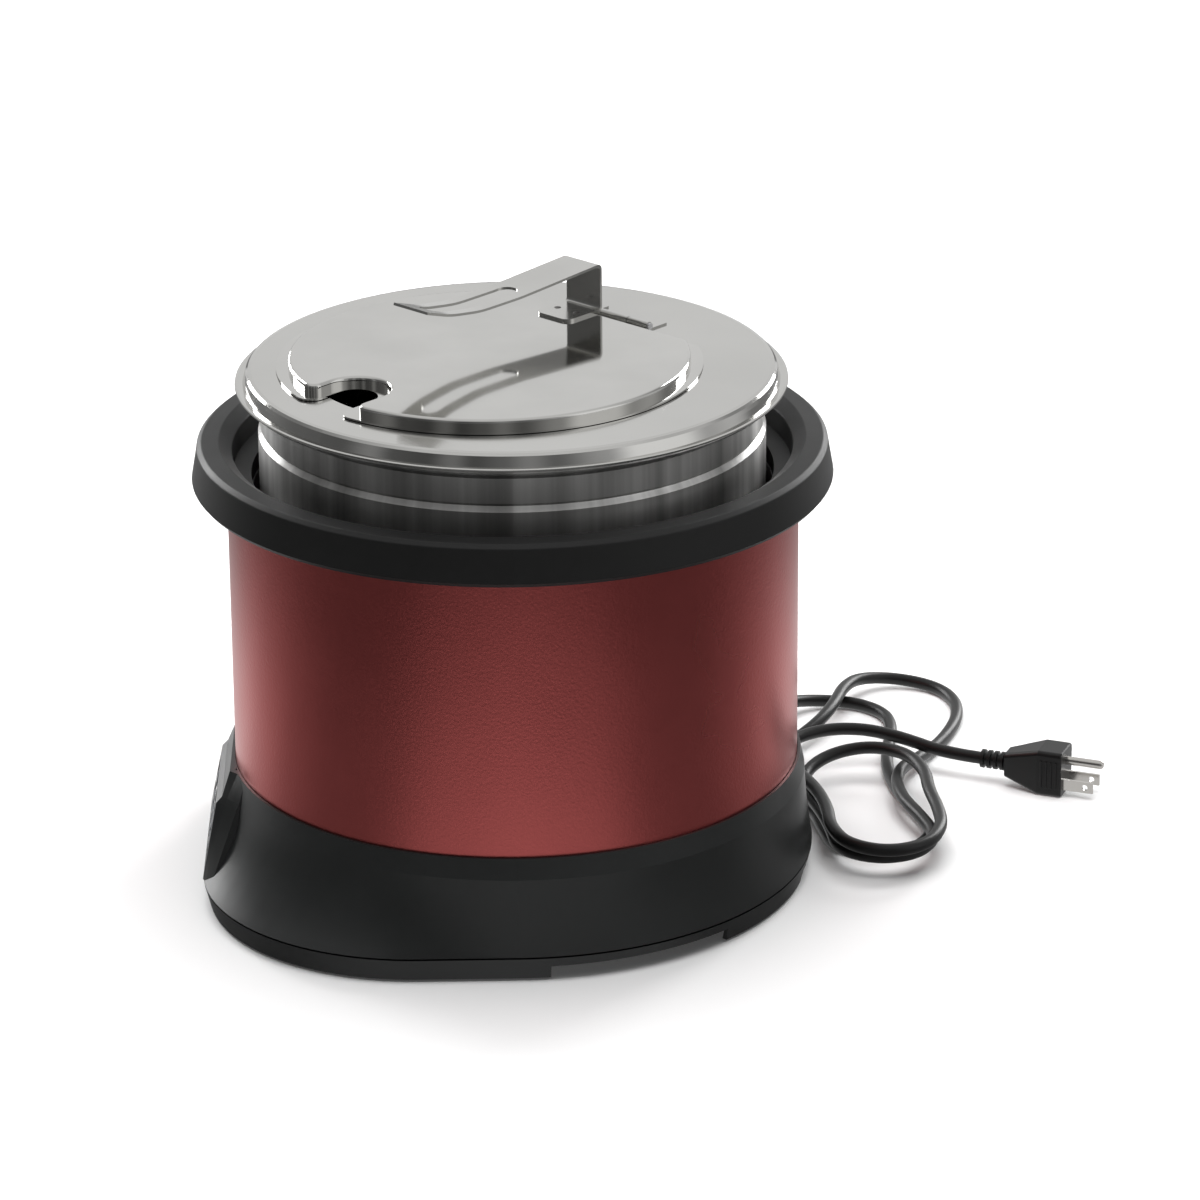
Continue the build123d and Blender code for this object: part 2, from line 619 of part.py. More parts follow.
def make_fan_frame():
    """Square frame with a round duct and a spider that holds the rotor's axle."""
    frame = block((FAN_SIDE, FAN_SIDE, FAN_H), PAN_TOP, FAN_X, FAN_Y)
    frame = fillet(frame.edges().filter_by(Axis.Z), 4.0)
    frame -= disc(FAN_BORE_R, PAN_TOP - 1, PAN_TOP + FAN_H + 1, FAN_X, FAN_Y)
    top = PAN_TOP + FAN_H
    spider = disc(FAN_HUB_R, top - FAN_SPIDER_T, top, FAN_X, FAN_Y)
    for i in range(4):
        arm = block((FAN_BORE_R - FAN_HUB_R + 3.0, 4.0, FAN_SPIDER_T), top - FAN_SPIDER_T,
                    (FAN_BORE_R + FAN_HUB_R) / 2, 0)
        spider += Pos(FAN_X, FAN_Y, 0) * Rot(0, 0, 45 + 90 * i) * arm
    spider += disc(FAN_AXLE_R, PAN_TOP + 3.0, top, FAN_X, FAN_Y)
    frame += spider
    for sx in (-1, 1):
        for sy in (-1, 1):
            x = FAN_X + sx * FAN_HOLE_OFFSET
            y = FAN_Y + sy * FAN_HOLE_OFFSET
            frame -= disc(SCREW_R, PAN_TOP - 1, top + 1, x, y)
    return frame


def make_fan_rotor():
    """Hub with seven twisted blades on the frame's axle."""
    low = PAN_TOP + 2.0
    high = PAN_TOP + FAN_H - FAN_SPIDER_T - 1.0
    hub = disc(FAN_HUB_R, low, high)
    span = FAN_TIP_R - FAN_HUB_R + 2.0
    for i in range(FAN_BLADES):
        blade = Box(span, FAN_BLADE_CHORD, FAN_BLADE_T)
        blade = Pos((FAN_TIP_R + FAN_HUB_R - 2.0) / 2, 0, (low + high) / 2) * Rot(FAN_BLADE_TILT, 0, 0) * blade
        hub += Rot(0, 0, 360 * i / FAN_BLADES) * blade
    hub &= disc(FAN_TIP_R, low, high)
    hub = Pos(FAN_X, FAN_Y, 0) * hub
    return hub - disc(FAN_AXLE_R + CLEAR / 2, low - 1, high + 1, FAN_X, FAN_Y)


def make_control_bezel():
    """Plate in the console's window with holes for the keys and a seat for the display."""
    bezel = on_panel(Rectangle(PANEL_W, PANEL_H), BEZEL_SINK, BEZEL_T)
    for name, shape, place in key_shapes():
        bezel -= on_panel(key_sketch(shape, place, KEY_GUIDE), 0.0, BEZEL_BACK + 1)
    seat = Pos(0, ROW_UP) * Rectangle(DISPLAY_W, DISPLAY_H)
    return bezel - on_panel(seat, BEZEL_SINK - 1, DISPLAY_T + 1)


def make_control_overlay():
    """Thin glossy sheet over the bezel, open at the keys and the display."""
    sheet = RectangleRounded(PANEL_W - 1.0, PANEL_H - 1.0, 2.0)
    overlay = on_panel(sheet, BEZEL_SINK - OVERLAY_T, OVERLAY_T)
    for name, shape, place in key_shapes():
        overlay -= on_panel(key_sketch(shape, place, KEY_GUIDE), -1.0, BEZEL_SINK + 1.5)
    opening = Pos(0, ROW_UP) * Rectangle(DISPLAY_W - 3.0, DISPLAY_H - 3.0)
    return overlay - on_panel(opening, -1.0, BEZEL_SINK + 1.5)


def make_display_window():
    """Dark display block in its seat behind the overlay."""
    return on_panel(Pos(0, ROW_UP) * Rectangle(DISPLAY_W - 0.2, DISPLAY_H - 0.2), BEZEL_SINK, DISPLAY_T)


def make_key(shape, place):
    """One key: its face through the overlay, and a flange behind the bezel that keeps it in."""
    face = BEZEL_SINK - OVERLAY_T - KEY_PROUD
    key = on_panel(key_sketch(shape, place), face, BEZEL_BACK + CLEAR - face)
    flange = on_panel(key_sketch(shape, place, KEY_FLANGE), BEZEL_BACK + CLEAR, KEY_FLANGE_T)
    return key + flange


def make_control_board():
    """Board behind the keys, on four posts that rise from it to the bezel."""
    board = on_panel(Rectangle(PANEL_W - 4.0, PANEL_H - 4.0), BOARD_FACE, BOARD_T)
    for side in (-1, 1):
        for place in ((side * (PANEL_W / 2 - 2.4), 0.0), (side * DISPLAY_W / 2, PANEL_H / 2 - 2.1)):
            board += on_panel(Pos(*place) * Circle(1.1), BEZEL_BACK, BOARD_FACE - BEZEL_BACK)
    return board


def make_vessel():
    """Spun stainless vessel: round corner at the foot, grooved neck, flared and turned rim."""
    corner = VESSEL_CORNER
    outside = [(0.0, VESSEL_FLOOR)]
    steps = 6
    for i in range(steps + 1):
        turn = radians(-90 + 90 * i / steps)
        outside.append((VESSEL_R - corner + corner * cos(turn), VESSEL_FLOOR + corner + corner * sin(turn)))
    outside += [(VESSEL_R, NECK_Z - 2 * NECK_HALF), (NECK_R - 0.2, NECK_Z - NECK_HALF * 0.7),
                (NECK_R - NECK_GROOVE, NECK_Z), (NECK_R, NECK_Z + NECK_HALF), (NECK_R, VESSEL_LIP_Z)]
    rim = [(NECK_R + 3.0, VESSEL_RIM_Z - 2.3), (VESSEL_RIM_R - 0.6, VESSEL_RIM_Z - 2.3),
           (VESSEL_RIM_R, VESSEL_RIM_Z - 1.2), (VESSEL_RIM_R - 0.6, VESSEL_RIM_Z),
           (NECK_R + 1.6, VESSEL_RIM_Z), (NECK_R - SHEET, VESSEL_LIP_Z + 0.6)]
    inside = [(NECK_R - SHEET, NECK_Z + NECK_HALF), (NECK_R - NECK_GROOVE - SHEET, NECK_Z),
              (NECK_R - 0.2 - SHEET, NECK_Z - NECK_HALF * 0.7), (VESSEL_R - SHEET, NECK_Z - 2 * NECK_HALF)]
    inner = corner - SHEET
    for i in range(steps + 1):
        turn = radians(-90 * i / steps)
        inside.append((VESSEL_R - corner + inner * cos(turn), VESSEL_FLOOR + corner + inner * sin(turn)))
    inside.append((0.0, VESSEL_FLOOR + SHEET))
    return turned(outside + rim + inside)


def lid_turn(shape):
    """Turn a piece drawn with the lid's front towards +X to its place."""
    return Rot(0, 0, LID_AZIMUTH) * shape


def cap_plan(radius, x, y, back, z=0.0):
    """Round plan cut off straight at the hinge side."""
    cut = Pos(back - radius * 1.5, 0) * Rectangle(radius * 3, radius * 4)
    return Pos(0, 0, z) * (Pos(x, y) * Circle(radius) - cut)


def make_lid_plate():
    """Round lid: flat flange, steep shoulder, flat top with the opening, and a skirt inside the vessel."""
    shoulder = [(LID_FLANGE_R, LID_RIM_Z + SHEET), (LID_FLANGE_R - 1.0, LID_TOP - 3.6),
                (LID_FLANGE_R - 1.7, LID_TOP - 1.6), (LID_FLANGE_R - 2.9, LID_TOP - 0.4), (LID_SHOULDER_R, LID_TOP)]
    under = [(LID_SHOULDER_R - 0.4, LID_TOP - SHEET), (LID_FLANGE_R - 3.4, LID_TOP - SHEET - 0.5),
             (LID_FLANGE_R - 2.6, LID_TOP - 2.2), (LID_FLANGE_R - 1.9, LID_TOP - 4.0), (LID_FLANGE_R - 0.8, LID_RIM_Z)]
    profile = [(0, LID_TOP - SHEET), (LID_SKIRT_R - SHEET, LID_TOP - SHEET), (LID_SKIRT_R - SHEET, LID_SKIRT_Z),
               (LID_SKIRT_R, LID_SKIRT_Z), (LID_SKIRT_R, LID_TOP - SHEET)]
    profile += under
    profile += [(LID_R - 0.9, LID_RIM_Z - 0.4), (LID_R, LID_RIM_Z + 0.1), (LID_R - 0.1, LID_RIM_Z + SHEET),
                (LID_R - 1.2, LID_RIM_Z + SHEET + 0.3)]
    profile += shoulder + [(0, LID_TOP)]
    lid = turned(profile)
    opening = extrude(cap_plan(OPENING_R, FLAP_X, FLAP_Y, OPENING_BACK, LID_SKIRT_Z), LID_TOP - LID_SKIRT_Z + 1)
    return lid_turn(lid - opening)


def notch_plan(grow=0.0):
    """Ladle notch: a round end that opens with flared corners at the flap's edge."""
    radius = NOTCH_R + grow
    reach = FLAP_X + FLAP_R + 20.0
    slot = Pos(NOTCH_X, NOTCH_Y) * Circle(radius)
    return slot + Pos((NOTCH_X + reach) / 2, NOTCH_Y) * Rectangle(reach - NOTCH_X, 2 * radius)


def flap_plan(margin=0.0):
    """Plan of the flap drawn in by a margin, with its notch and rounded corners."""
    plan = cap_plan(FLAP_R - margin, FLAP_X, FLAP_Y, FLAP_BACK + margin) - notch_plan(margin)
    corners = [v for v in plan.vertices() if v.X > NOTCH_X + 1]
    plan = fillet(corners, NOTCH_FLARE - margin * 0.4)
    back = [v for v in plan.vertices() if v.X < FLAP_BACK + margin + 0.1]
    return fillet(back, 6.0)


def make_flap_plate():
    """Flap of sheet: a flat flange and a raised plateau with rounded steps, round the ladle notch."""
    flange = Pos(0, 0, FLAP_Z) * extrude(flap_plan(), SHEET)
    rise = Pos(0, 0, FLAP_Z) * extrude(flap_plan(PLATEAU_MARGIN), SHEET + PLATEAU_RISE)
    rise = fillet(rise.edges().group_by(Axis.Z)[-1], PLATEAU_EDGE)
    hollow = Pos(0, 0, FLAP_Z - 1) * extrude(flap_plan(PLATEAU_MARGIN + SHEET), PLATEAU_RISE + 1)
    hollow = fillet(hollow.edges().group_by(Axis.Z)[-1], PLATEAU_EDGE - SHEET)
    return lid_turn(flange + rise - hollow)


def barrel(radius, start, end):
    """Round bar along the hinge's axis."""
    return Pos(HINGE_X, start, HINGE_Z) * Rot(-90, 0, 0) * extrude(Circle(radius), end - start)


def knuckle_spans():
    """Spans along the hinge of the lid's two outer knuckles and the flap's one between them."""
    third = (HINGE_RIGHT - HINGE_LEFT) / 4
    return [(HINGE_LEFT, HINGE_LEFT + third), (HINGE_LEFT + third + KNUCKLE_GAP, HINGE_RIGHT - third - KNUCKLE_GAP),
            (HINGE_RIGHT - third, HINGE_RIGHT)]


def make_lid_knuckles():
    """Two knuckles with leaves welded to the lid behind the hinge."""
    spans = knuckle_spans()
    pieces = []
    for start, end in (spans[0], spans[2]):
        leaf = Pos(HINGE_X - 7.0, (start + end) / 2, LID_TOP + SHEET / 2) * Box(14.0, end - start, SHEET)
        knuckle = barrel(KNUCKLE_R, start, end) + leaf - barrel(PIN_R + PIN_FIT, start - 1, end + 1)
        pieces.append(lid_turn(knuckle))
    return pieces


def make_flap_knuckle():
    """Middle knuckle with a leaf welded on the flap's flange."""
    start, end = knuckle_spans()[1]
    top = FLAP_Z + SHEET
    leaf_end = FLAP_BACK + PLATEAU_MARGIN - 0.6
    leaf = Pos((HINGE_X + leaf_end) / 2, (start + end) / 2, top + SHEET / 2) * Box(leaf_end - HINGE_X, end - start,
                                                                                 SHEET)
    knuckle = barrel(KNUCKLE_R, start, end) + leaf
    return lid_turn(knuckle - barrel(PIN_R + PIN_RUN, start - 1, end + 1))


def make_hinge_pin():
    """Pin through the three knuckles, with a flat head at each end."""
    pin = barrel(PIN_R, HINGE_LEFT - 0.3, HINGE_RIGHT + 0.3)
    pin += barrel(PIN_R + 0.7, HINGE_LEFT - 1.2, HINGE_LEFT - 0.1)
    pin += barrel(PIN_R + 0.7, HINGE_RIGHT + 0.1, HINGE_RIGHT + 1.2)
    return lid_turn(pin)


def make_handle():
    """Bent strap: foot on the flap, upright post, dipping grip with a slot, upturned end."""
    base = PLATEAU_Z + HANDLE_T / 2
    top = PLATEAU_Z + HANDLE_RISE - HANDLE_T / 2
    post = HANDLE_POST_X
    dip_start, dip_end, upturn = [post + share * HANDLE_TIP_L for share in HANDLE_DIP_SHARES]
    path = FilletPolyline((post + HANDLE_FOOT_L, 0, base), (post, 0, base), (post, 0, top),
                          (dip_start, 0, top - HANDLE_DIP), (dip_end, 0, top - HANDLE_DIP), (upturn, 0, top),
                          (post + HANDLE_TIP_L, 0, top + HANDLE_CURL),
                          radius=[HANDLE_BEND, HANDLE_BEND, *HANDLE_SWEEP_R])
    start = Plane(origin=path @ 0, x_dir=(0, 1, 0), z_dir=path % 0)
    strap = Pos(0, HANDLE_Y, 0) * sweep(start * Rectangle(HANDLE_W, HANDLE_T), path=path)
    foot_corners = [e for e in strap.edges().filter_by(Axis.Z)
                    if e.center().X > post + HANDLE_FOOT_L - 1 and e.center().Z < base + HANDLE_T]
    strap = fillet(foot_corners, HANDLE_FOOT_R)
    slot_l = SLOT_END - SLOT_START
    slot = Pos(post + SLOT_START + slot_l / 2, HANDLE_Y, PLATEAU_Z + HANDLE_T * 2) * extrude(
        SlotOverall(slot_l, SLOT_W), HANDLE_RISE + HANDLE_CURL)
    return lid_turn(strap - slot)


# Points of the cord's path after the strain relief, loosely coiled beside the base
CORD_ROUTE = [
    (-143.5, 143.5, 27.5), (-167.0, 149.5, 20.0), (-189.5, 152.5, 10.5), (-205.5, 170.0, 5.0),
    (-205.0, 194.0, 3.5), (-187.5, 211.5, 3.5), (-163.0, 213.0, 3.5), (-138.5, 209.0, 3.5),
    (-113.5, 206.5, 3.5), (-89.0, 208.0, 3.5), (-64.5, 213.0, 3.5), (-41.0, 220.5, 3.5),
    (-17.0, 226.0, 3.5), (4.5, 213.5, 3.5), (10.0, 190.0, 3.5), (-3.5, 170.5, 3.5), (-27.5, 166.0, 3.5),
    (-52.0, 162.5, 3.5), (-74.5, 149.5, 3.5), (-96.0, 140.0, 3.5), (-120.5, 141.0, 4.0),
    (-139.5, 156.0, 7.5), (-158.0, 172.0, 12.0), (-180.5, 181.5, 13.5), (-204.5, 187.0, 12.5),
    (-227.0, 197.0, 9.5), (-236.5, 219.0, 5.5), (-228.0, 242.0, 3.5), (-206.0, 252.5, 3.5),
    (-181.0, 251.5, 3.5), (-157.5, 244.5, 3.5), (-135.0, 234.5, 4.0), (-113.0, 223.0, 6.5),
    (-91.0, 213.0, 11.0), (-67.0, 208.5, 13.0), (-42.5, 211.0, 13.0), (-19.0, 219.5, 12.5),
    (5.0, 226.0, 11.5), (26.5, 214.0, 11.0), (32.0, 191.0, 11.0), (18.0, 171.5, 11.0), (-6.0, 169.5, 12.0),
    (-30.5, 165.5, 12.0), (-54.5, 159.5, 11.5), (-79.0, 157.0, 12.0), (-98.5, 171.5, 16.0),
    (-102.0, 195.5, 20.0), (-88.5, 216.0, 21.0), (-65.0, 224.5, 20.5), (-40.5, 224.5, 20.0),
    (-15.5, 228.0, 19.5), (9.0, 228.5, 19.5), (32.0, 219.5, 19.0), (42.0, 197.5, 19.0), (32.0, 176.0, 19.5),
    (9.0, 168.0, 20.0), (-15.5, 168.0, 20.0), (-40.0, 164.0, 20.0), (-63.0, 156.0, 20.0),
    (-85.5, 146.0, 19.5), (-109.5, 150.0, 19.5), (-124.5, 169.5, 20.5), (-127.0, 194.0, 20.0),
    (-120.0, 217.0, 16.5), (-107.0, 238.0, 13.0), (-98.5, 258.5, 13.0),
]


def cord_points():
    """The cord's path from the end of the strain relief to the start of the plug's relief."""
    start = gland_place() * Pos(0, 0, GLAND_L)
    return [tuple(start.position)] + CORD_ROUTE


def cord_bends(points):
    """One radius for each corner: as large as its two runs allow. Also the turns in degrees."""
    radii = []
    turns = []
    for before, corner, after in zip(points, points[1:], points[2:]):
        first = Vector(*corner) - Vector(*before)
        second = Vector(*after) - Vector(*corner)
        turn = first.get_angle(second)
        radii.append(BEND_SHARE * min(first.length, second.length) / tan(radians(turn) / 2))
        turns.append(turn)
    return radii, turns


def least_gap(path):
    """Least free space between two stretches of the tube, measured on points along its middle."""
    count = int(path.length / GAP_STEP)
    places = [path @ (i / count) for i in range(count + 1)]
    apart = int(GAP_SKIP / GAP_STEP)
    found = path.length
    for i, one in enumerate(places):
        for other in places[i + apart:]:
            found = min(found, hypot(one.X - other.X, one.Y - other.Y, one.Z - other.Z))
    return found - CORD_D


def make_power_cord():
    """Round cord along straight runs and tangent arcs. Prints its bends, length, volume and least gap."""
    points = cord_points()
    radii, turns = cord_bends(points)
    path = FilletPolyline(*points, radius=radii)
    tube = sweep(Plane(origin=path @ 0, z_dir=path % 0) * Circle(CORD_D / 2), path=path)
    section = pi * (CORD_D / 2) ** 2
    print("cord radii mm", " ".join("%.0f" % radius for radius in radii))
    print("cord sharpest turn %.0f degrees, least radius %.1f mm" % (max(turns), min(radii)))
    print("cord length %.0f mm, volume over section times length %.4f" % (
        path.length, tube.volume / (section * path.length)))
    print("cord least gap to itself %.2f mm" % least_gap(path))
    return tube


def plug_place():
    """Frame of the plug: its axis follows the cord's last run, its broad side stands upright."""
    points = cord_points()
    heading = Vector(*points[-1]) - Vector(*points[-2])
    return Plane(origin=points[-1], x_dir=(0, 0, 1), z_dir=heading).location


def plug_pins():
    """Two flat blades with a hole near the tip, and a round ground pin, in the plug's own frame."""
    front = RELIEF_L + PLUG_L
    blade = Box(BLADE_W, BLADE_T, BLADE_L + PIN_IN, align=(Align.CENTER, Align.CENTER, Align.MIN))
    blade = chamfer(blade.edges().filter_by(Axis.X).group_by(Axis.Z)[-1], BLADE_T * 0.3)
    hole = Rot(90, 0, 0) * Cylinder(BLADE_HOLE_R, BLADE_T * 2)
    blade -= Pos(0, 0, BLADE_L + PIN_IN - BLADE_HOLE_BACK) * hole
    pin = Cylinder(GROUND_R, GROUND_L + PIN_IN, align=(Align.CENTER, Align.CENTER, Align.MIN))
    pin = fillet(pin.edges().group_by(Axis.Z)[-1], GROUND_R * 0.8)
    low = front - PIN_IN
    return [Pos(-GROUND_OFFSET / 2, BLADE_SPACING / 2, low) * blade,
            Pos(-GROUND_OFFSET / 2, -BLADE_SPACING / 2, low) * blade,
            Pos(GROUND_OFFSET / 2, 0, low) * pin]


def make_plug_blades():
    """The three metal pins, set into the plug's front."""
    return [plug_place() * pin for pin in plug_pins()]


def make_plug_body():
    """Moulded plug: ribbed relief, tapering neck and a block with a flat front."""
    pitch = RELIEF_L / RELIEF_RIBS
    points = [(0, 0), (CORD_D / 2 + 0.7, 0)]
    for i in range(RELIEF_RIBS):
        low = pitch * i
        points += [(RELIEF_R, low + 0.2), (RELIEF_R, low + pitch * 0.55), (RELIEF_R - 1.5, low + pitch * 0.6),
                   (RELIEF_R - 1.5, low + pitch * 0.98)]
    points += [(RELIEF_R - 1.5, RELIEF_L + 1), (0, RELIEF_L + 1)]
    relief = revolve(make_face(Plane.XZ * Polyline(*points, close=True)), Axis.Z)
    neck = loft([Pos(0, 0, RELIEF_L) * RectangleRounded(PLUG_NECK_W, PLUG_NECK_H, 2.5),
                 Pos(0, 0, RELIEF_L + PLUG_NECK_L) * RectangleRounded(PLUG_W, PLUG_H, 2.5)], ruled=True)
    head = Pos(0, 0, RELIEF_L + PLUG_NECK_L) * extrude(RectangleRounded(PLUG_W, PLUG_H, 2.5), PLUG_L - PLUG_NECK_L)
    head = chamfer(head.edges().group_by(Axis.Z)[-1], 0.6)
    plug = relief + neck + head
    for pin in plug_pins():
        plug -= pin
    return plug_place() * plug


def main():
    """Build every piece and write it to parts/."""
    os.makedirs("parts", exist_ok=True)
    pieces = {
        "bottom_pan": make_bottom_pan(), "feet": make_feet(), "pan_screws": make_pan_screws(),
        "base_shell": make_base_shell(), "strain_relief": make_strain_relief(), "jacket": make_jacket(),
        "top_ring": make_top_ring(), "well_wall": make_well_wall(), "well_floor": make_well_floor(),
        "temperature_sensor": make_temperature_sensor(), "insulation_sleeve": make_insulation_sleeve(),
        "coil_former": make_coil_former(), "induction_coil": make_induction_coil(),
        "ferrite_bars": make_ferrite_bars(), "power_board": make_power_board(),
        "board_screws": make_board_screws(), "heatsink": make_heatsink(), "board_parts": make_board_parts(),
        "fan_frame": make_fan_frame(), "fan_rotor": make_fan_rotor(), "control_bezel": make_control_bezel(),
        "control_overlay": make_control_overlay(), "display_window": make_display_window(),
        "control_board": make_control_board(), "vessel": make_vessel(), "lid_plate": make_lid_plate(),
        "flap_plate": make_flap_plate(), "lid_knuckles": make_lid_knuckles(),
        "flap_knuckle": make_flap_knuckle(), "hinge_pin": make_hinge_pin(), "handle": make_handle(),
        "power_cord": make_power_cord(), "plug_body": make_plug_body(), "plug_blades": make_plug_blades(),
    }
    for name, shape, place in key_shapes():
        pieces[name] = make_key(shape, place)
    for name, shape in pieces.items():
        body = Compound(children=shape) if isinstance(shape, list) else shape
        export_step(body, "parts/%s.step" % name)


if __name__ == "__main__":
    main()
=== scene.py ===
"""Looks of a countertop rethermalizer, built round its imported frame.

Metres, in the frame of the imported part: +Z is up, the table is z = 0, the control panel faces -Y
and the photographed side is +X.
"""

import logging
import math
from dataclasses import dataclass, field
from enum import Enum

import bpy
from mathutils import Matrix, Vector


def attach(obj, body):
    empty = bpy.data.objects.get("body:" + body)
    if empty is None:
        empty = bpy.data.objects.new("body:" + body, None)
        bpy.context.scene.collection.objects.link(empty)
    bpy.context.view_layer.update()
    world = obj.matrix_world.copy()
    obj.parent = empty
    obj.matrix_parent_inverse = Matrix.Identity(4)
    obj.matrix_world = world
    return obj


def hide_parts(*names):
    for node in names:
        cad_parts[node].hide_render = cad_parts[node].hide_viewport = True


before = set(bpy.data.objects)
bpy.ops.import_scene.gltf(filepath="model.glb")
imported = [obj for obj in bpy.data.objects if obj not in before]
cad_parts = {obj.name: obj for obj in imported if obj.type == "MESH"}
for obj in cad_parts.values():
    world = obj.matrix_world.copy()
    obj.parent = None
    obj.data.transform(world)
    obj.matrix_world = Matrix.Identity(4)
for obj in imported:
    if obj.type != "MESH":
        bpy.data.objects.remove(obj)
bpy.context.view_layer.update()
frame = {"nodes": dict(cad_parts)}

log = logging.getLogger("rethermalizer")

Colour = tuple[float, float, float]
Point = tuple[float, float, float]
Span = tuple[float, float]


class Brush(Enum):
    """The way in which a steel face is brushed."""

    ROUND = "round"
    LONG = "long"
    POLISHED = "polished"


# Small helpers


def deselect() -> None:
    """Deselect every object, so that an operator acts on the new one alone."""
    bpy.ops.object.select_all(action="DESELECT")


def make_active(piece: bpy.types.Object) -> None:
    """Select one object and make it the active one.

    Args:
        piece: the object that the next operators act on.
    """
    deselect()
    piece.select_set(True)
    bpy.context.view_layer.objects.active = piece


def settle(piece: bpy.types.Object, name: str) -> bpy.types.Object:
    """Put an object's place into its mesh and give it its name.

    Args:
        piece: a mesh object anywhere.
        name: the piece's name.

    Returns:
        The same object, at the origin, unturned and unscaled.
    """
    make_active(piece)
    bpy.ops.object.transform_apply(location=True, rotation=True, scale=True)
    piece.name = name
    piece.data.name = name
    return piece


def dress(piece: bpy.types.Object, material: bpy.types.Material) -> bpy.types.Object:
    """Give a piece one material.

    Args:
        piece: a mesh or curve object.
        material: its finish.

    Returns:
        The same object.
    """
    piece.data.materials.clear()
    piece.data.materials.append(material)
    return piece


def grey(level: float) -> tuple[float, float, float, float]:
    """Return the opaque grey of a level."""
    return level, level, level, 1.0


# Small makers of shader nodes


def feed(tree: bpy.types.NodeTree, term: object, socket: bpy.types.NodeSocket) -> None:
    """Link an output to a socket, or set the socket to a value.

    Args:
        tree: the node tree.
        term: an output socket, a number or a colour.
        socket: the input that takes it.
    """
    if isinstance(term, bpy.types.NodeSocket):
        tree.links.new(term, socket)
    else:
        socket.default_value = term


def maths(tree: bpy.types.NodeTree, operation: str, *terms: object) -> bpy.types.NodeSocket:
    """Place a Math node.

    Args:
        tree: the node tree.
        operation: what the node works out.
        terms: its inputs in order, each an output socket or a number.

    Returns:
        The node's output.
    """
    node = tree.nodes.new("ShaderNodeMath")
    node.operation = operation
    for term, socket in zip(terms, node.inputs):
        feed(tree, term, socket)
    return node.outputs["Value"]


def length_of(tree: bpy.types.NodeTree, vector: bpy.types.NodeSocket) -> bpy.types.NodeSocket:
    """Return the output that holds a vector's length."""
    node = tree.nodes.new("ShaderNodeVectorMath")
    node.operation = "LENGTH"
    tree.links.new(vector, node.inputs[0])
    return node.outputs["Value"]


def rescale(tree: bpy.types.NodeTree, value: bpy.types.NodeSocket, source: Span, target: Span,
            smooth: bool = False) -> bpy.types.NodeSocket:
    """Map one range of values to another.

    Args:
        tree: the node tree.
        value: the output that gives the value.
        source: the range that it comes from.
        target: the range that it goes to.
        smooth: whether the run between the ends is eased.

    Returns:
        The mapped value's output.
    """
    node = tree.nodes.new("ShaderNodeMapRange")
    if smooth:
        node.interpolation_type = "SMOOTHSTEP"
    for label, number in zip(("From Min", "From Max", "To Min", "To Max"), (*source, *target)):
        node.inputs[label].default_value = number
    tree.links.new(value, node.inputs["Value"])
    return node.outputs["Result"]


def mix(tree: bpy.types.NodeTree, share: bpy.types.NodeSocket, first: object,
        second: object) -> bpy.types.NodeSocket:
    """Mix two colours.

    Args:
        tree: the node tree.
        share: the second colour's share.
        first: an output socket or a colour.
        second: an output socket or a colour.

    Returns:
        The mixed colour's output.
    """
    node = tree.nodes.new("ShaderNodeMixRGB")
    for term, label in ((share, "Fac"), (first, "Color1"), (second, "Color2")):
        feed(tree, term, node.inputs[label])
    return node.outputs["Color"]


def noise(tree: bpy.types.NodeTree, vector: bpy.types.NodeSocket, scale: object,
          detail: object) -> bpy.types.NodeSocket:
    """Place a noise texture.

    Args:
        tree: the node tree.
        vector: the output that gives the place.
        scale: its scale, an output socket or a number.
        detail: its detail, an output socket or a number.

    Returns:
        The noise's grey output.
    """
    node = tree.nodes.new("ShaderNodeTexNoise")
    for term, label in ((vector, "Vector"), (scale, "Scale"), (detail, "Detail")):
        feed(tree, term, node.inputs[label])
    return node.outputs["Fac"]


# Shader node groups that several finishes share


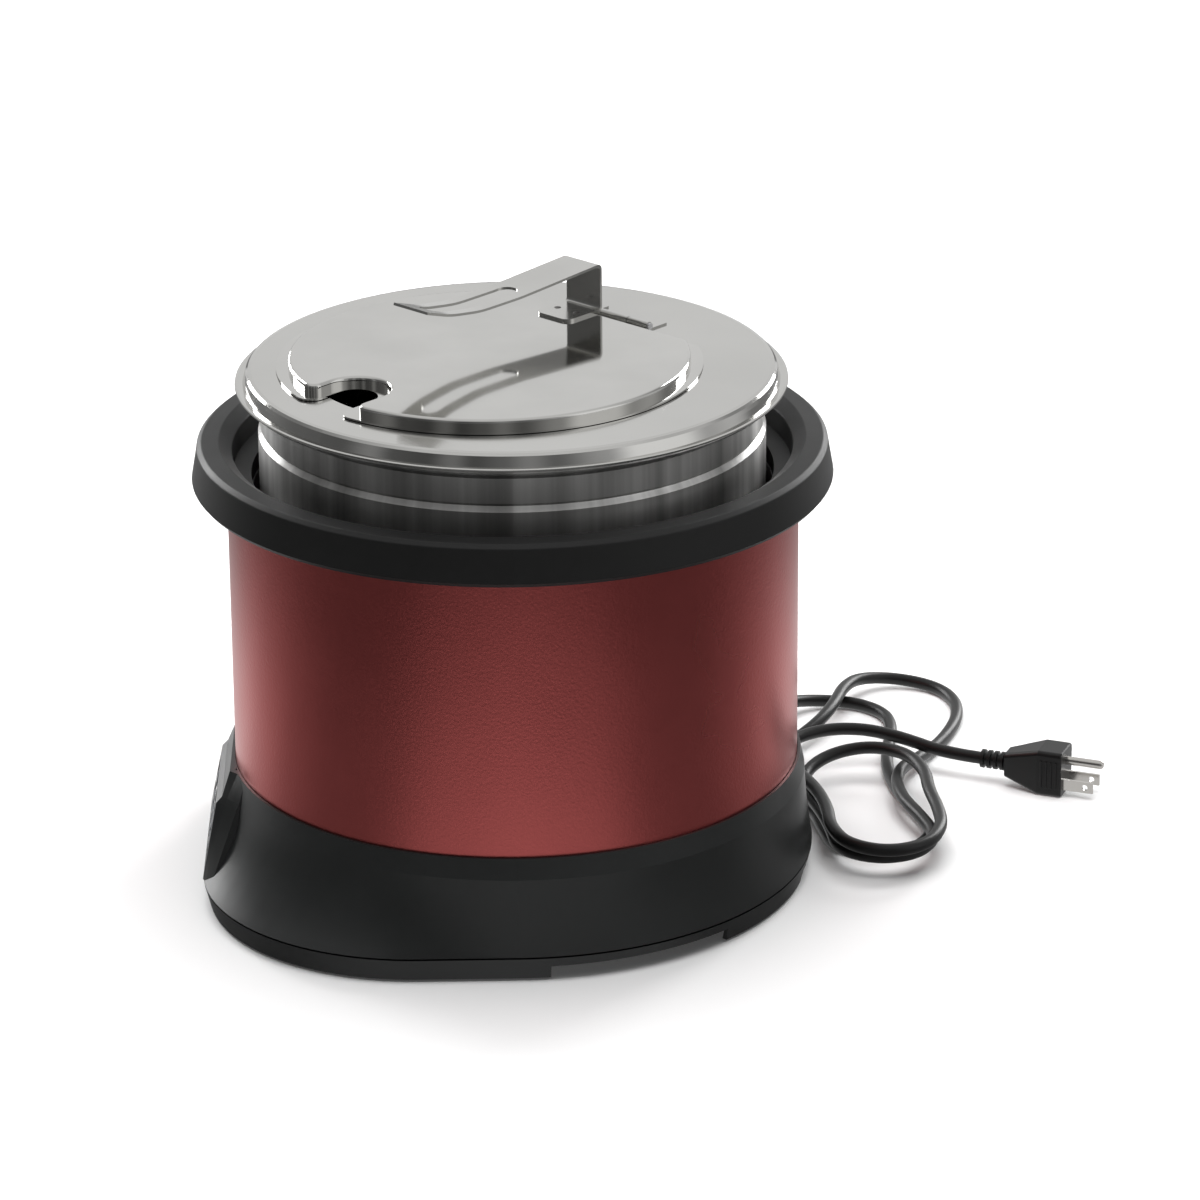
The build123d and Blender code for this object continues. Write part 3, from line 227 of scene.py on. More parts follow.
@dataclass
class GroupKit:
    """Builds the shared shader node groups once and hands them out.

    Attributes:
        drift_detail: detail of the grain's slow drift.
        patch_scale: scale of the brushed steel's slow drift.
        patch_detail: detail of that drift and of the streaks.
        reflection_band_scale: scale of the painted reflection bands round the axis.
        made: the groups by name.
    """

    drift_detail: float = 3.0
    patch_scale: float = 9.0
    patch_detail: float = 4.0
    reflection_band_scale: float = 6.0
    made: dict[str, bpy.types.NodeTree] = field(default_factory=dict)

    def start(self, name: str, inputs: dict[str, float], outputs: list[str]) -> bpy.types.NodeTree:
        """Make an empty group with float inputs and outputs.

        Args:
            name: the group's name.
            inputs: each input's name and usual value.
            outputs: the outputs' names.

        Returns:
            The new group with its input and output nodes.
        """
        group = bpy.data.node_groups.new(name, "ShaderNodeTree")
        for label, usual in inputs.items():
            socket = group.interface.new_socket(label, in_out="INPUT", socket_type="NodeSocketFloat")
            socket.default_value = usual
        for label in outputs:
            group.interface.new_socket(label, in_out="OUTPUT", socket_type="NodeSocketFloat")
        group.nodes.new("NodeGroupInput").name = "in"
        group.nodes.new("NodeGroupOutput").name = "out"
        self.made[name] = group
        return group

    def grain(self) -> bpy.types.NodeTree:
        """Fine moulded or sprayed grain: a height, and a slow drift from 0 to 1."""
        if "grain" in self.made:
            return self.made["grain"]
        group = self.start("grain", {"Scale": 900.0, "Detail": 2.0, "Drift Scale": 14.0}, ["Height", "Drift"])
        given = group.nodes["in"].outputs
        result = group.nodes["out"].inputs
        place = group.nodes.new("ShaderNodeTexCoord").outputs["Object"]
        feed(group, noise(group, place, given["Scale"], given["Detail"]), result["Height"])
        feed(group, noise(group, place, given["Drift Scale"], self.drift_detail), result["Drift"])
        return group

    def strokes(self) -> bpy.types.NodeTree:
        """Brush strokes round the upright axis: a height, a slow drift, and painted reflection bands by
        azimuth.
        """
        if "strokes" in self.made:
            return self.made["strokes"]
        group = self.start("strokes", {"Fineness": 1600.0, "Length": 5.0}, ["Height", "Drift", "Painted Bands"])
        given = group.nodes["in"].outputs
        result = group.nodes["out"].inputs
        place = group.nodes.new("ShaderNodeTexCoord").outputs["Object"]
        split = group.nodes.new("ShaderNodeSeparateXYZ")
        flat = group.nodes.new("ShaderNodeCombineXYZ")
        joined = group.nodes.new("ShaderNodeCombineXYZ")
        feed(group, place, split.inputs["Vector"])
        feed(group, split.outputs["X"], flat.inputs["X"])
        feed(group, split.outputs["Y"], flat.inputs["Y"])
        radius = length_of(group, flat.outputs["Vector"])
        angle = maths(group, "ARCTAN2", split.outputs["Y"], split.outputs["X"])
        feed(group, maths(group, "MULTIPLY", radius, given["Fineness"]), joined.inputs["X"])
        feed(group, maths(group, "MULTIPLY", angle, given["Length"]), joined.inputs["Y"])
        feed(group, maths(group, "MULTIPLY", split.outputs["Z"], given["Fineness"]), joined.inputs["Z"])
        feed(group, noise(group, joined.outputs["Vector"], 1.0, 2.0), result["Height"])
        feed(group, noise(group, place, self.patch_scale, self.patch_detail), result["Drift"])
        # Upright light and dark bands by azimuth: painted reflection, which darkens the steel's colour
        # between the bright bands.
        reflection_band_noise = group.nodes.new("ShaderNodeTexNoise")
        reflection_band_noise.noise_dimensions = "1D"
        reflection_band_noise.inputs["Scale"].default_value = self.reflection_band_scale
        reflection_band_noise.inputs["Detail"].default_value = self.patch_detail
        feed(group, angle, reflection_band_noise.inputs["W"])
        feed(group, reflection_band_noise.outputs["Fac"], result["Painted Bands"])
        return group


@dataclass
class Paints:
    """Starts materials and joins the shared groups to them.

    Attributes:
        kit: the shared node groups.
        middle: the part of a mask, either side of its middle, over which a value or colour changes.
    """

    kit: GroupKit
    middle: Span = (0.3, 0.7)

    def start(self, name: str) -> tuple[bpy.types.Material, bpy.types.Node]:
        """Make a material with a Principled shader.

        Args:
            name: the material's name.

        Returns:
            The material and its Principled node.
        """
        material = bpy.data.materials.new(name)
        material.use_nodes = True
        return material, material.node_tree.nodes["Principled BSDF"]

    def group(self, material: bpy.types.Material, tree: bpy.types.NodeTree,
              values: dict[str, float]) -> bpy.types.Node:
        """Place a shared group in a material.

        Args:
            material: where it goes.
            tree: the shared group.
            values: the group's inputs by name.

        Returns:
            The group's node.
        """
        node = material.node_tree.nodes.new("ShaderNodeGroup")
        node.node_tree = tree
        for label, value in values.items():
            node.inputs[label].default_value = value
        return node

    def bump(self, material: bpy.types.Material, shader: bpy.types.Node, height: bpy.types.NodeSocket,
             strength: float, distance: float) -> None:
        """Drive a shader's normal from a height.

        Args:
            material: the material.
            shader: its Principled node.
            height: the output that gives the height.
            strength: the Bump node's strength.
            distance: the height of a full step, in metres.
        """
        tree = material.node_tree
        node = tree.nodes.new("ShaderNodeBump")
        node.inputs["Strength"].default_value = strength
        node.inputs["Distance"].default_value = distance
        tree.links.new(height, node.inputs["Height"])
        tree.links.new(node.outputs["Normal"], shader.inputs["Normal"])

    def spread(self, material: bpy.types.Material, share: bpy.types.NodeSocket, low: float, high: float,
               target: bpy.types.NodeSocket) -> None:
        """Map a mask to a range of one value.

        Args:
            material: the material.
            share: the mask, from 0 to 1.
            low: the value where the mask is low.
            high: the value where the mask is high.
            target: the socket that takes it.
        """
        tree = material.node_tree
        feed(tree, rescale(tree, share, self.middle, (low, high)), target)

    def blend(self, material: bpy.types.Material, share: bpy.types.NodeSocket, dark: Colour, light: Colour,
              target: bpy.types.NodeSocket) -> None:
        """Map a mask to a run between two colours.

        Args:
            material: the material.
            share: the mask, from 0 to 1.
            dark: the colour where the mask is low.
            light: the colour where the mask is high.
            target: the colour socket that takes it.
        """
        tree = material.node_tree
        node = tree.nodes.new("ShaderNodeValToRGB")
        for element, position, colour in zip(node.color_ramp.elements, self.middle, (dark, light)):
            element.position = position
            element.color = (*colour, 1.0)
        tree.links.new(share, node.inputs["Fac"])
        tree.links.new(node.outputs["Color"], target)


@dataclass(frozen=True)
class GrainFinish:
    """Moulded, sprayed or sanded surface with a fine grain.

    Attributes:
        name: the material's name.
        dark: its colour in the darker patches.
        light: its colour in the lighter patches.
        rough: the lowest and highest roughness.
        scale: the grain's scale.
        depth: the grain's depth in metres.
        strength: how strongly the grain tilts the surface.
        coat: share of clear coat.
        coat_rough: roughness of that coat.
        metal: share of metal.
        specular: strength of the plain reflection.
    """

    name: str
    dark: Colour
    light: Colour
    rough: tuple[float, float]
    scale: float = 1200.0
    depth: float = 0.00005
    strength: float = 0.35
    coat: float = 0.0
    coat_rough: float = 0.2
    metal: float = 0.0
    specular: float = 0.5

    def build(self, paints: Paints) -> bpy.types.Material:
        """Make the material.

        Args:
            paints: the helper that joins the shared groups.

        Returns:
            The finished material.
        """
        material, shader = paints.start(self.name)
        grain = paints.group(material, paints.kit.grain(), {"Scale": self.scale})
        paints.blend(material, grain.outputs["Drift"], self.dark, self.light, shader.inputs["Base Color"])
        paints.spread(material, grain.outputs["Drift"], *self.rough, shader.inputs["Roughness"])
        paints.bump(material, shader, grain.outputs["Height"], self.strength, self.depth)
        shader.inputs["Metallic"].default_value = self.metal
        shader.inputs["Coat Weight"].default_value = self.coat
        shader.inputs["Coat Roughness"].default_value = self.coat_rough
        shader.inputs["Specular IOR Level"].default_value = self.specular
        return material


@dataclass(frozen=True)
class SteelFinish:
    """Stainless steel, brushed round the axis or polished.

    Attributes:
        name: the material's name.
        brush: the way in which it is brushed.
        colour: the metal's colour.
        rough: the lowest and highest roughness.
        stretch: how far the brushing stretches a reflection.
        strength: how strongly the strokes tilt the surface.
        painted_bands: whether its colour runs in upright light and dark bands by azimuth, painted reflections
            of the studio's lights.
        shade: share of the colour in the darker patches.
        painted_band_shade: share of the colour in the darker painted reflection bands.
        depth: depth of the strokes in metres.
        turn: turn of the stretched reflection, as a share of a full turn.
    """

    name: str
    brush: Brush
    colour: Colour
    rough: tuple[float, float]
    stretch: float = 0.0
    strength: float = 0.1
    painted_bands: bool = False
    shade: float = 0.9
    painted_band_shade: float = 0.42
    depth: float = 0.00003
    turn: float = 0.25

    def build(self, paints: Paints) -> bpy.types.Material:
        """Make the material.

        Args:
            paints: the helper that joins the shared groups.

        Returns:
            The finished material.
        """
        material, shader = paints.start(self.name)
        if self.brush is Brush.ROUND:
            lines = paints.group(material, paints.kit.strokes(), {"Fineness": 1500.0, "Length": 4.0})
        else:
            lines = paints.group(material, paints.kit.grain(), {"Scale": 700.0, "Drift Scale": 18.0})
        # The vessel's colour follows the painted reflection bands; other steel follows the random drift.
        share, mask = (self.painted_band_shade, "Painted Bands") if self.painted_bands else (self.shade, "Drift")
        dark = tuple(c * share for c in self.colour)
        paints.blend(material, lines.outputs[mask], dark, self.colour, shader.inputs["Base Color"])
        paints.spread(material, lines.outputs["Drift"], *self.rough, shader.inputs["Roughness"])
        paints.bump(material, shader, lines.outputs["Height"], self.strength, self.depth)
        shader.inputs["Metallic"].default_value = 1.0
        shader.inputs["Anisotropic"].default_value = self.stretch
        if self.stretch:
            shader.inputs["Anisotropic Rotation"].default_value = self.turn
            around = material.node_tree.nodes.new("ShaderNodeTangent")
            around.direction_type = "RADIAL"
            around.axis = "Z"
            material.node_tree.links.new(around.outputs["Tangent"], shader.inputs["Tangent"])
        return material


@dataclass(frozen=True)
class LampFinish:
    """Lit mark of a display.

    Attributes:
        name: the material's name.
        colour: the light's colour.
        strength: the light's strength.
        unlit: the mark's own colour.
        dim: share of the light in the darker patches.
    """

    name: str
    colour: Colour
    strength: float
    unlit: Colour = (0.05, 0.01, 0.01)
    dim: float = 0.85

    def build(self, paints: Paints) -> bpy.types.Material:
        """Make the material.

        Args:
            paints: the helper that joins the shared groups.

        Returns:
            The finished material.
        """
        material, shader = paints.start(self.name)
        grain = paints.group(material, paints.kit.grain(), {"Scale": 300.0})
        dim = tuple(c * self.dim for c in self.colour)
        paints.blend(material, grain.outputs["Drift"], dim, self.colour, shader.inputs["Emission Color"])
        shader.inputs["Base Color"].default_value = (*self.unlit, 1.0)
        shader.inputs["Emission Strength"].default_value = self.strength
        return material


FINISHES = (
    GrainFinish("base_black", (0.010, 0.011, 0.011), (0.014, 0.015, 0.015), (0.32, 0.42), 2600.0, 0.00003,
                0.25, specular=0.4),
    GrainFinish("ring_black", (0.007, 0.007, 0.007), (0.010, 0.010, 0.010), (0.46, 0.58), 2200.0, 0.00005,
                0.35, specular=0.35),
    GrainFinish("jacket_red", (0.42, 0.092, 0.088), (0.47, 0.104, 0.099), (0.27, 0.33), 620.0, 0.00030, 0.40,
                metal=0.93, specular=0.2),
    GrainFinish("foot_rubber", (0.015, 0.015, 0.015), (0.025, 0.025, 0.025), (0.75, 0.9), 1500.0),
    GrainFinish("cord_black", (0.004, 0.004, 0.004), (0.008, 0.008, 0.008), (0.36, 0.46), 1500.0, 0.00003,
                0.2, specular=0.35),
    GrainFinish("overlay_black", (0.010, 0.010, 0.011), (0.014, 0.014, 0.016), (0.12, 0.2), 600.0, 0.00002,
                0.1),
    GrainFinish("display_dark", (0.012, 0.002, 0.002), (0.02, 0.004, 0.004), (0.04, 0.08), 300.0, 0.00001,
                0.05),
    GrainFinish("key_grey", (0.16, 0.17, 0.18), (0.2, 0.21, 0.22), (0.4, 0.5), 1800.0),
    GrainFinish("ceramic_dark", (0.035, 0.035, 0.036), (0.05, 0.05, 0.052), (0.25, 0.4), 1500.0),
    GrainFinish("well_metal", (0.30, 0.30, 0.30), (0.36, 0.36, 0.36), (0.4, 0.5), 1400.0, metal=1.0),
    GrainFinish("fibre_pale", (0.62, 0.60, 0.55), (0.75, 0.73, 0.68), (0.9, 1.0), 500.0, 0.0003, 0.8),
    GrainFinish("copper_wire", (0.52, 0.2, 0.09), (0.62, 0.26, 0.12), (0.3, 0.4), 900.0, metal=1.0),
    GrainFinish("ferrite_grey", (0.05, 0.05, 0.055), (0.08, 0.08, 0.085), (0.6, 0.75), 1200.0),
    GrainFinish("board_green", (0.01, 0.08, 0.03), (0.015, 0.11, 0.045), (0.3, 0.4), 1400.0),
    GrainFinish("parts_blue", (0.02, 0.03, 0.07), (0.03, 0.045, 0.1), (0.3, 0.45), 1200.0),
    GrainFinish("alloy_grey", (0.5, 0.5, 0.5), (0.58, 0.58, 0.58), (0.35, 0.5), 1600.0, metal=1.0),
    GrainFinish("fan_black", (0.02, 0.02, 0.02), (0.03, 0.03, 0.03), (0.4, 0.5), 1600.0),
    GrainFinish("zinc", (0.6, 0.6, 0.62), (0.68, 0.68, 0.7), (0.25, 0.4), 1500.0, metal=1.0),
    GrainFinish("blade_metal", (0.62, 0.6, 0.57), (0.72, 0.7, 0.66), (0.18, 0.28), 1200.0, metal=1.0),
    GrainFinish("weld_grey", (0.16, 0.155, 0.15), (0.24, 0.235, 0.23), (0.4, 0.55), 2500.0, 0.0001, 0.6,
                metal=1.0),
    GrainFinish("mark_white", (0.7, 0.7, 0.7), (0.8, 0.8, 0.8), (0.5, 0.6), 1200.0),
    SteelFinish("lid_steel", Brush.ROUND, (0.64, 0.635, 0.615), (0.08, 0.14), 0.3, 0.05),
    # The vessel's steel carries painted reflection bands in its colour.
    SteelFinish("vessel_steel", Brush.ROUND, (0.80, 0.795, 0.78), (0.28, 0.36), 0.85, 0.1, True),
    SteelFinish("flap_steel", Brush.POLISHED, (0.65, 0.645, 0.625), (0.05, 0.09), 0.0, 0.02),
    SteelFinish("handle_steel", Brush.LONG, (0.64, 0.635, 0.615), (0.16, 0.24), 0.0, 0.05),
    LampFinish("digit_red", (1.0, 0.08, 0.04), 1.6),
)

NODE_FINISHES = {
    "base_black": ("base_shell", "bottom_pan"),
    "ring_black": ("top_ring", "control_bezel"),
    "jacket_red": ("jacket",),
    "foot_rubber": ("feet",),
    "cord_black": ("strain_relief", "plug_body", "power_cord"),
    "overlay_black": ("control_overlay",),
    "display_dark": ("display_window",),
    "key_grey": ("power_key", "down_key", "up_key", "preset_key_1", "preset_key_2", "preset_key_3",
                 "preset_key_4"),
    "ceramic_dark": ("well_floor",),
    "well_metal": ("well_wall", "temperature_sensor"),
    "fibre_pale": ("insulation_sleeve",),
    "copper_wire": ("induction_coil",),
    "ferrite_grey": ("ferrite_bars",),
    "board_green": ("power_board", "control_board"),
    "parts_blue": ("board_parts",),
    "alloy_grey": ("heatsink",),
    "fan_black": ("fan_frame", "fan_rotor", "coil_former"),
    "zinc": ("pan_screws", "board_screws", "hinge_pin"),
    "blade_metal": ("plug_blades",),
    "lid_steel": ("lid_plate", "lid_knuckles"),
    "flap_steel": ("flap_plate", "flap_knuckle"),
    "vessel_steel": ("vessel",),
    "handle_steel": ("handle",),
}


@dataclass
class Finishes:
    """Every finish of the object, built once.

    Attributes:
        paints: the helper that joins the shared groups.
        made: the materials by name.
    """

    paints: Paints
    made: dict[str, bpy.types.Material] = field(default_factory=dict)

    def build(self) -> None:
        """Build every finish."""
        for finish in FINISHES:
            self.made[finish.name] = finish.build(self.paints)
            log.info("finish %s", finish.name)

    def dress_nodes(self, nodes: dict[str, bpy.types.Object]) -> None:
        """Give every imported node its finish.

        Args:
            nodes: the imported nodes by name.
        """
        for finish, names in NODE_FINISHES.items():
            for name in names:
                if name in nodes:
                    dress(nodes[name], self.made[finish])
                    log.info("node %s takes %s", name, finish)


@dataclass
class PowerCord:
    """The mains cord: one smooth line from the strain relief to the plug.

    Attributes:
        finishes: the object's materials.
        diameter: the cord's diameter.
        length: its length from the strain relief to the plug; not used.
        grips: the plug's grip ribs, which move with the cord; not used.
        order: the order of the smooth line.
        steps: steps of the line between two of its points.
        ring_steps: steps of a quarter of its round section.
        route: the points that steer the cord.
    """

    finishes: Finishes
    diameter: float = 0.007
    length: float = 1.585
    grips: bpy.types.Object | None = None
    order: int = 3
    steps: int = 10
    ring_steps: int = 5
    route: list[Point] = field(default_factory=lambda: [
        (-0.127916, 0.127916, 0.0275), (-0.1435, 0.1435, 0.0275), (-0.167, 0.1495, 0.02),
        (-0.1895, 0.1525, 0.0105), (-0.2055, 0.17, 0.005), (-0.205, 0.194, 0.0035),
        (-0.1875, 0.2115, 0.0035), (-0.163, 0.213, 0.0035), (-0.1385, 0.209, 0.0035),
        (-0.1135, 0.2065, 0.0035), (-0.089, 0.208, 0.0035), (-0.0645, 0.213, 0.0035),
        (-0.041, 0.2205, 0.0035), (-0.017, 0.226, 0.0035), (0.0045, 0.2135, 0.0035), (0.01, 0.19, 0.0035),
        (-0.0035, 0.1705, 0.0035), (-0.0275, 0.166, 0.0035), (-0.052, 0.1625, 0.0035),
        (-0.0745, 0.1495, 0.0035), (-0.096, 0.14, 0.0035), (-0.1205, 0.141, 0.004),
        (-0.1395, 0.156, 0.0075), (-0.158, 0.172, 0.012), (-0.1805, 0.1815, 0.0135),
        (-0.2045, 0.187, 0.0125), (-0.227, 0.197, 0.0095), (-0.2365, 0.219, 0.0055),
        (-0.228, 0.242, 0.0035), (-0.206, 0.2525, 0.0035), (-0.181, 0.2515, 0.0035),
        (-0.1575, 0.2445, 0.0035), (-0.135, 0.2345, 0.004), (-0.113, 0.223, 0.0065), (-0.091, 0.213, 0.011),
        (-0.067, 0.2085, 0.013), (-0.0425, 0.211, 0.013), (-0.019, 0.2195, 0.0125), (0.005, 0.226, 0.0115),
        (0.0265, 0.214, 0.011), (0.032, 0.191, 0.011), (0.018, 0.1715, 0.011), (-0.006, 0.1695, 0.012),
        (-0.0305, 0.1655, 0.012), (-0.0545, 0.1595, 0.0115), (-0.079, 0.157, 0.012),
        (-0.0985, 0.1715, 0.016), (-0.102, 0.1955, 0.02), (-0.0885, 0.216, 0.021), (-0.065, 0.2245, 0.0205),
        (-0.0405, 0.2245, 0.02), (-0.0155, 0.228, 0.0195), (0.009, 0.2285, 0.0195), (0.032, 0.2195, 0.019),
        (0.042, 0.1975, 0.019), (0.032, 0.176, 0.0195), (0.009, 0.168, 0.02), (-0.0155, 0.168, 0.02),
        (-0.04, 0.164, 0.02), (-0.063, 0.156, 0.02), (-0.0855, 0.146, 0.0195), (-0.1095, 0.15, 0.0195),
        (-0.1245, 0.1695, 0.0205), (-0.127, 0.194, 0.02), (-0.12, 0.217, 0.0165), (-0.107, 0.238, 0.013),
        (-0.0985, 0.2585, 0.013),
    ])

    def build(self) -> bpy.types.Object:
        """Returns:
            The cord's curve.
        """
        curve = bpy.data.curves.new("mains_cord", "CURVE")
        curve.dimensions = "3D"
        line = curve.splines.new("NURBS")
        line.points.add(len(self.route) - 1)
        for point, place in zip(line.points, self.route):
            point.co = (*place, 1.0)
        line.order_u = self.order
        line.use_endpoint_u = True
        line.resolution_u = self.steps
        curve.bevel_depth = self.diameter / 2
        curve.bevel_resolution = self.ring_steps
        curve.use_fill_caps = True
        piece = bpy.data.objects.new("mains_cord", curve)
        bpy.context.scene.collection.objects.link(piece)
        dress(piece, self.finishes.made["cord_black"])
        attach(piece, "housing")
        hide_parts("power_cord")
        log.info("mains cord with %d points", len(self.route))
        return piece


@dataclass
class PanelMarks:
    """Printed marks on the keys and the lit number in the display.

    Attributes:
        finishes: the object's materials.
        middle: the middle of the panel on the console's face.
        slope: how far the panel leans back for each unit of height.
        key_depth: depth of the key faces behind the console's face.
        glass_depth: depth of the display's face.
        mark_t: thickness of a mark.
        row_up: height of the upper row over the panel's middle.
        row_down: height of the lower row over the panel's middle.
        arrow_x: places of the down and up keys along the panel.
        preset_pitch: spacing of the preset keys.
        number: what the display shows.
        digit: width, height, stroke and spacing of a digit.
        ring_r: radius of the power mark's ring.
        ring_wire: radius of its section.
        ring_sink: distance of the ring's middle below the row.
        ring_cut: height over the row above which the ring is open.
        stem: width, length and height over the row of the power mark's bar.
        arrow_r: radius of an arrow mark.
        dot_r: radius of a preset dot.
        dot_pitch: spacing of the preset dots.
        edge: share of a mark's thickness that its bevel takes.
    """

    finishes: Finishes
    middle: Point = (0.0, -0.1633, 0.033)
    slope: float = 0.2
    key_depth: float = -0.0001
    glass_depth: float = 0.0009
    mark_t: float = 0.00014
    row_up: float = 0.0055
    row_down: float = -0.0075
    arrow_x: tuple[float, float] = (0.0198, 0.031)
    preset_pitch: float = 0.0185
    number: str = "165"
    digit: tuple[float, float, float, float] = (0.0030, 0.0056, 0.0006, 0.0052)
    ring_r: float = 0.0017
    ring_wire: float = 0.0002
    ring_sink: float = 0.0002
    ring_cut: float = 0.0011
    stem: Point = (0.0004, 0.0018, 0.0012)
    arrow_r: float = 0.0018
    dot_r: float = 0.00055
    dot_pitch: float = 0.0022
    edge: float = 0.3

    SEGMENTS = {"1": "bc", "6": "acdefg", "5": "acdfg"}
    SEGMENT_PLACES = {"a": (0.0, 1.0, True), "b": (0.5, 0.5, False), "c": (0.5, -0.5, False),
                      "d": (0.0, -1.0, True), "e": (-0.5, -0.5, False), "f": (-0.5, 0.5, False),
                      "g": (0.0, 0.0, True)}

    def lean(self) -> float:
        """Return the panel's lean from upright, in radians."""
        return math.atan(self.slope)

    def place(self, x: float, y: float, depth: float) -> Vector:
        """Find a point from its place on the panel.

        Args:
            x: distance along the panel.
            y: distance up the slope.
            depth: distance behind the console's face.

        Returns:
            The point in the part's frame.
        """
        lean = self.lean()
        along = Vector((0.0, math.sin(lean), math.cos(lean)))
        inward = Vector((0.0, math.cos(lean), -math.sin(lean)))
        return Vector(self.middle) + Vector((x, 0.0, 0.0)) + along * y + inward * depth

    def turn(self, spin: float = 0.0) -> tuple[float, float, float]:
        """Return the rotation that lays a mark on the panel, after a spin in its own plane."""
        base = Matrix.Rotation(math.radians(90.0) - self.lean(), 4, "X") @ Matrix.Rotation(spin, 4, "Z")
        return tuple(base.to_euler())

    def soften(self) -> None:
        """Bevel every edge of the active mark."""
        bpy.ops.object.transform_apply(location=True, rotation=True, scale=True)
        bpy.ops.object.mode_set(mode="EDIT")
        bpy.ops.mesh.select_all(action="SELECT")
        bpy.ops.mesh.bevel(offset=self.mark_t * self.edge, segments=2)
        bpy.ops.object.mode_set(mode="OBJECT")

    def bar(self, x: float, y: float, size: tuple[float, float], depth: float) -> bpy.types.Object:
        """Lay a flat bar on the panel.

        Args:
            x: its middle along the panel.
            y: its middle up the slope.
            size: its width and height.
            depth: depth of the face on which it lies.

        Returns:
            The bar.
        """
        deselect()
        bpy.ops.mesh.primitive_cube_add(size=1.0, location=self.place(x, y, depth), rotation=self.turn())
        piece = bpy.context.active_object
        piece.scale = (*size, self.mark_t)
        self.soften()
        return piece

    def prism(self, x: float, y: float, radius: float, sides: int, spin: float) -> bpy.types.Object:
        """Lay a flat round or three-sided mark on a key.

        Args:
            x: its middle along the panel.
            y: its middle up the slope.
            radius: its radius.
            sides: its count of sides.
            spin: its turn in the panel's plane.

        Returns:
            The mark.
        """
        deselect()
        bpy.ops.mesh.primitive_cylinder_add(vertices=sides, radius=radius, depth=self.mark_t,
                                            location=self.place(x, y, self.key_depth),
                                            rotation=self.turn(spin))
        self.soften()
        return bpy.context.active_object

    def join(self, pieces: list[bpy.types.Object], name: str, finish: str, body: str) -> None:
        """Join marks into one piece that rides with its key.

        Args:
            pieces: the marks.
            name: the piece's name.
            finish: its material's name.
            body: the body that carries it.
        """
        deselect()
        for piece in pieces:
            piece.select_set(True)
        bpy.context.view_layer.objects.active = pieces[0]
        if len(pieces) > 1:
            bpy.ops.object.join()
        mark = settle(bpy.context.active_object, name)
        dress(mark, self.finishes.made[finish])
        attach(mark, body)
        log.info("mark %s rides %s", name, body)

    def power_mark(self) -> None:
        """Open ring with a bar, on the power key."""
        x = -(self.arrow_x[0] + self.arrow_x[1]) / 2
        lean = self.lean()
        deselect()
        bpy.ops.mesh.primitive_torus_add(major_radius=self.ring_r, minor_radius=self.ring_wire,
                                         major_segments=48, minor_segments=8,
                                         location=self.place(x, self.row_up - self.ring_sink, self.key_depth),
                                         rotation=self.turn())
        ring = bpy.context.active_object
        bpy.ops.object.transform_apply(location=True, rotation=True, scale=True)
        bpy.ops.object.mode_set(mode="EDIT")
        bpy.ops.mesh.select_all(action="SELECT")
        bpy.ops.mesh.bisect(plane_co=self.place(x, self.row_up + self.ring_cut, self.key_depth),
                            plane_no=(0.0, math.sin(lean), math.cos(lean)), clear_outer=True, use_fill=True)
        bpy.ops.object.mode_set(mode="OBJECT")
        width, length, rise = self.stem
        stroke = self.bar(x, self.row_up + rise, (width, length), self.key_depth)
        self.join([ring, stroke], "power_mark", "mark_white", "power_key")

    def digits(self) -> None:
        """Lit number of three digits behind the overlay's window."""
        width, height, stroke, pitch = self.digit
        lying = (width - stroke * 1.6, stroke)
        standing = (stroke, height / 2 - stroke * 0.8)
        bars = []
        for i, figure in enumerate(self.number):
            for segment in self.SEGMENTS[figure]:
                dx, dy, flat = self.SEGMENT_PLACES[segment]
                x = (i - 1) * pitch + dx * width
                bars.append(self.bar(x, self.row_up + dy * height / 2, lying if flat else standing,
                                     self.glass_depth))
        self.join(bars, "display_digits", "digit_red", "housing")

    def build(self) -> None:
        """Build every mark of the panel."""
        self.power_mark()
        for name, x, spin in (("down_key", self.arrow_x[0], 180.0), ("up_key", self.arrow_x[1], 0.0)):
            arrow = self.prism(x, self.row_up, self.arrow_r, 3, math.radians(spin))
            self.join([arrow], name.replace("key", "mark"), "mark_white", name)
        for i in range(4):
            x = self.preset_pitch * (i - 1.5)
            dots = [self.prism(x + (j - i / 2) * self.dot_pitch, self.row_down, self.dot_r, 20, 0.0)
                    for j in range(i + 1)]
            self.join(dots, f"preset_mark_{i + 1}", "mark_white", f"preset_key_{i + 1}")
        self.digits()


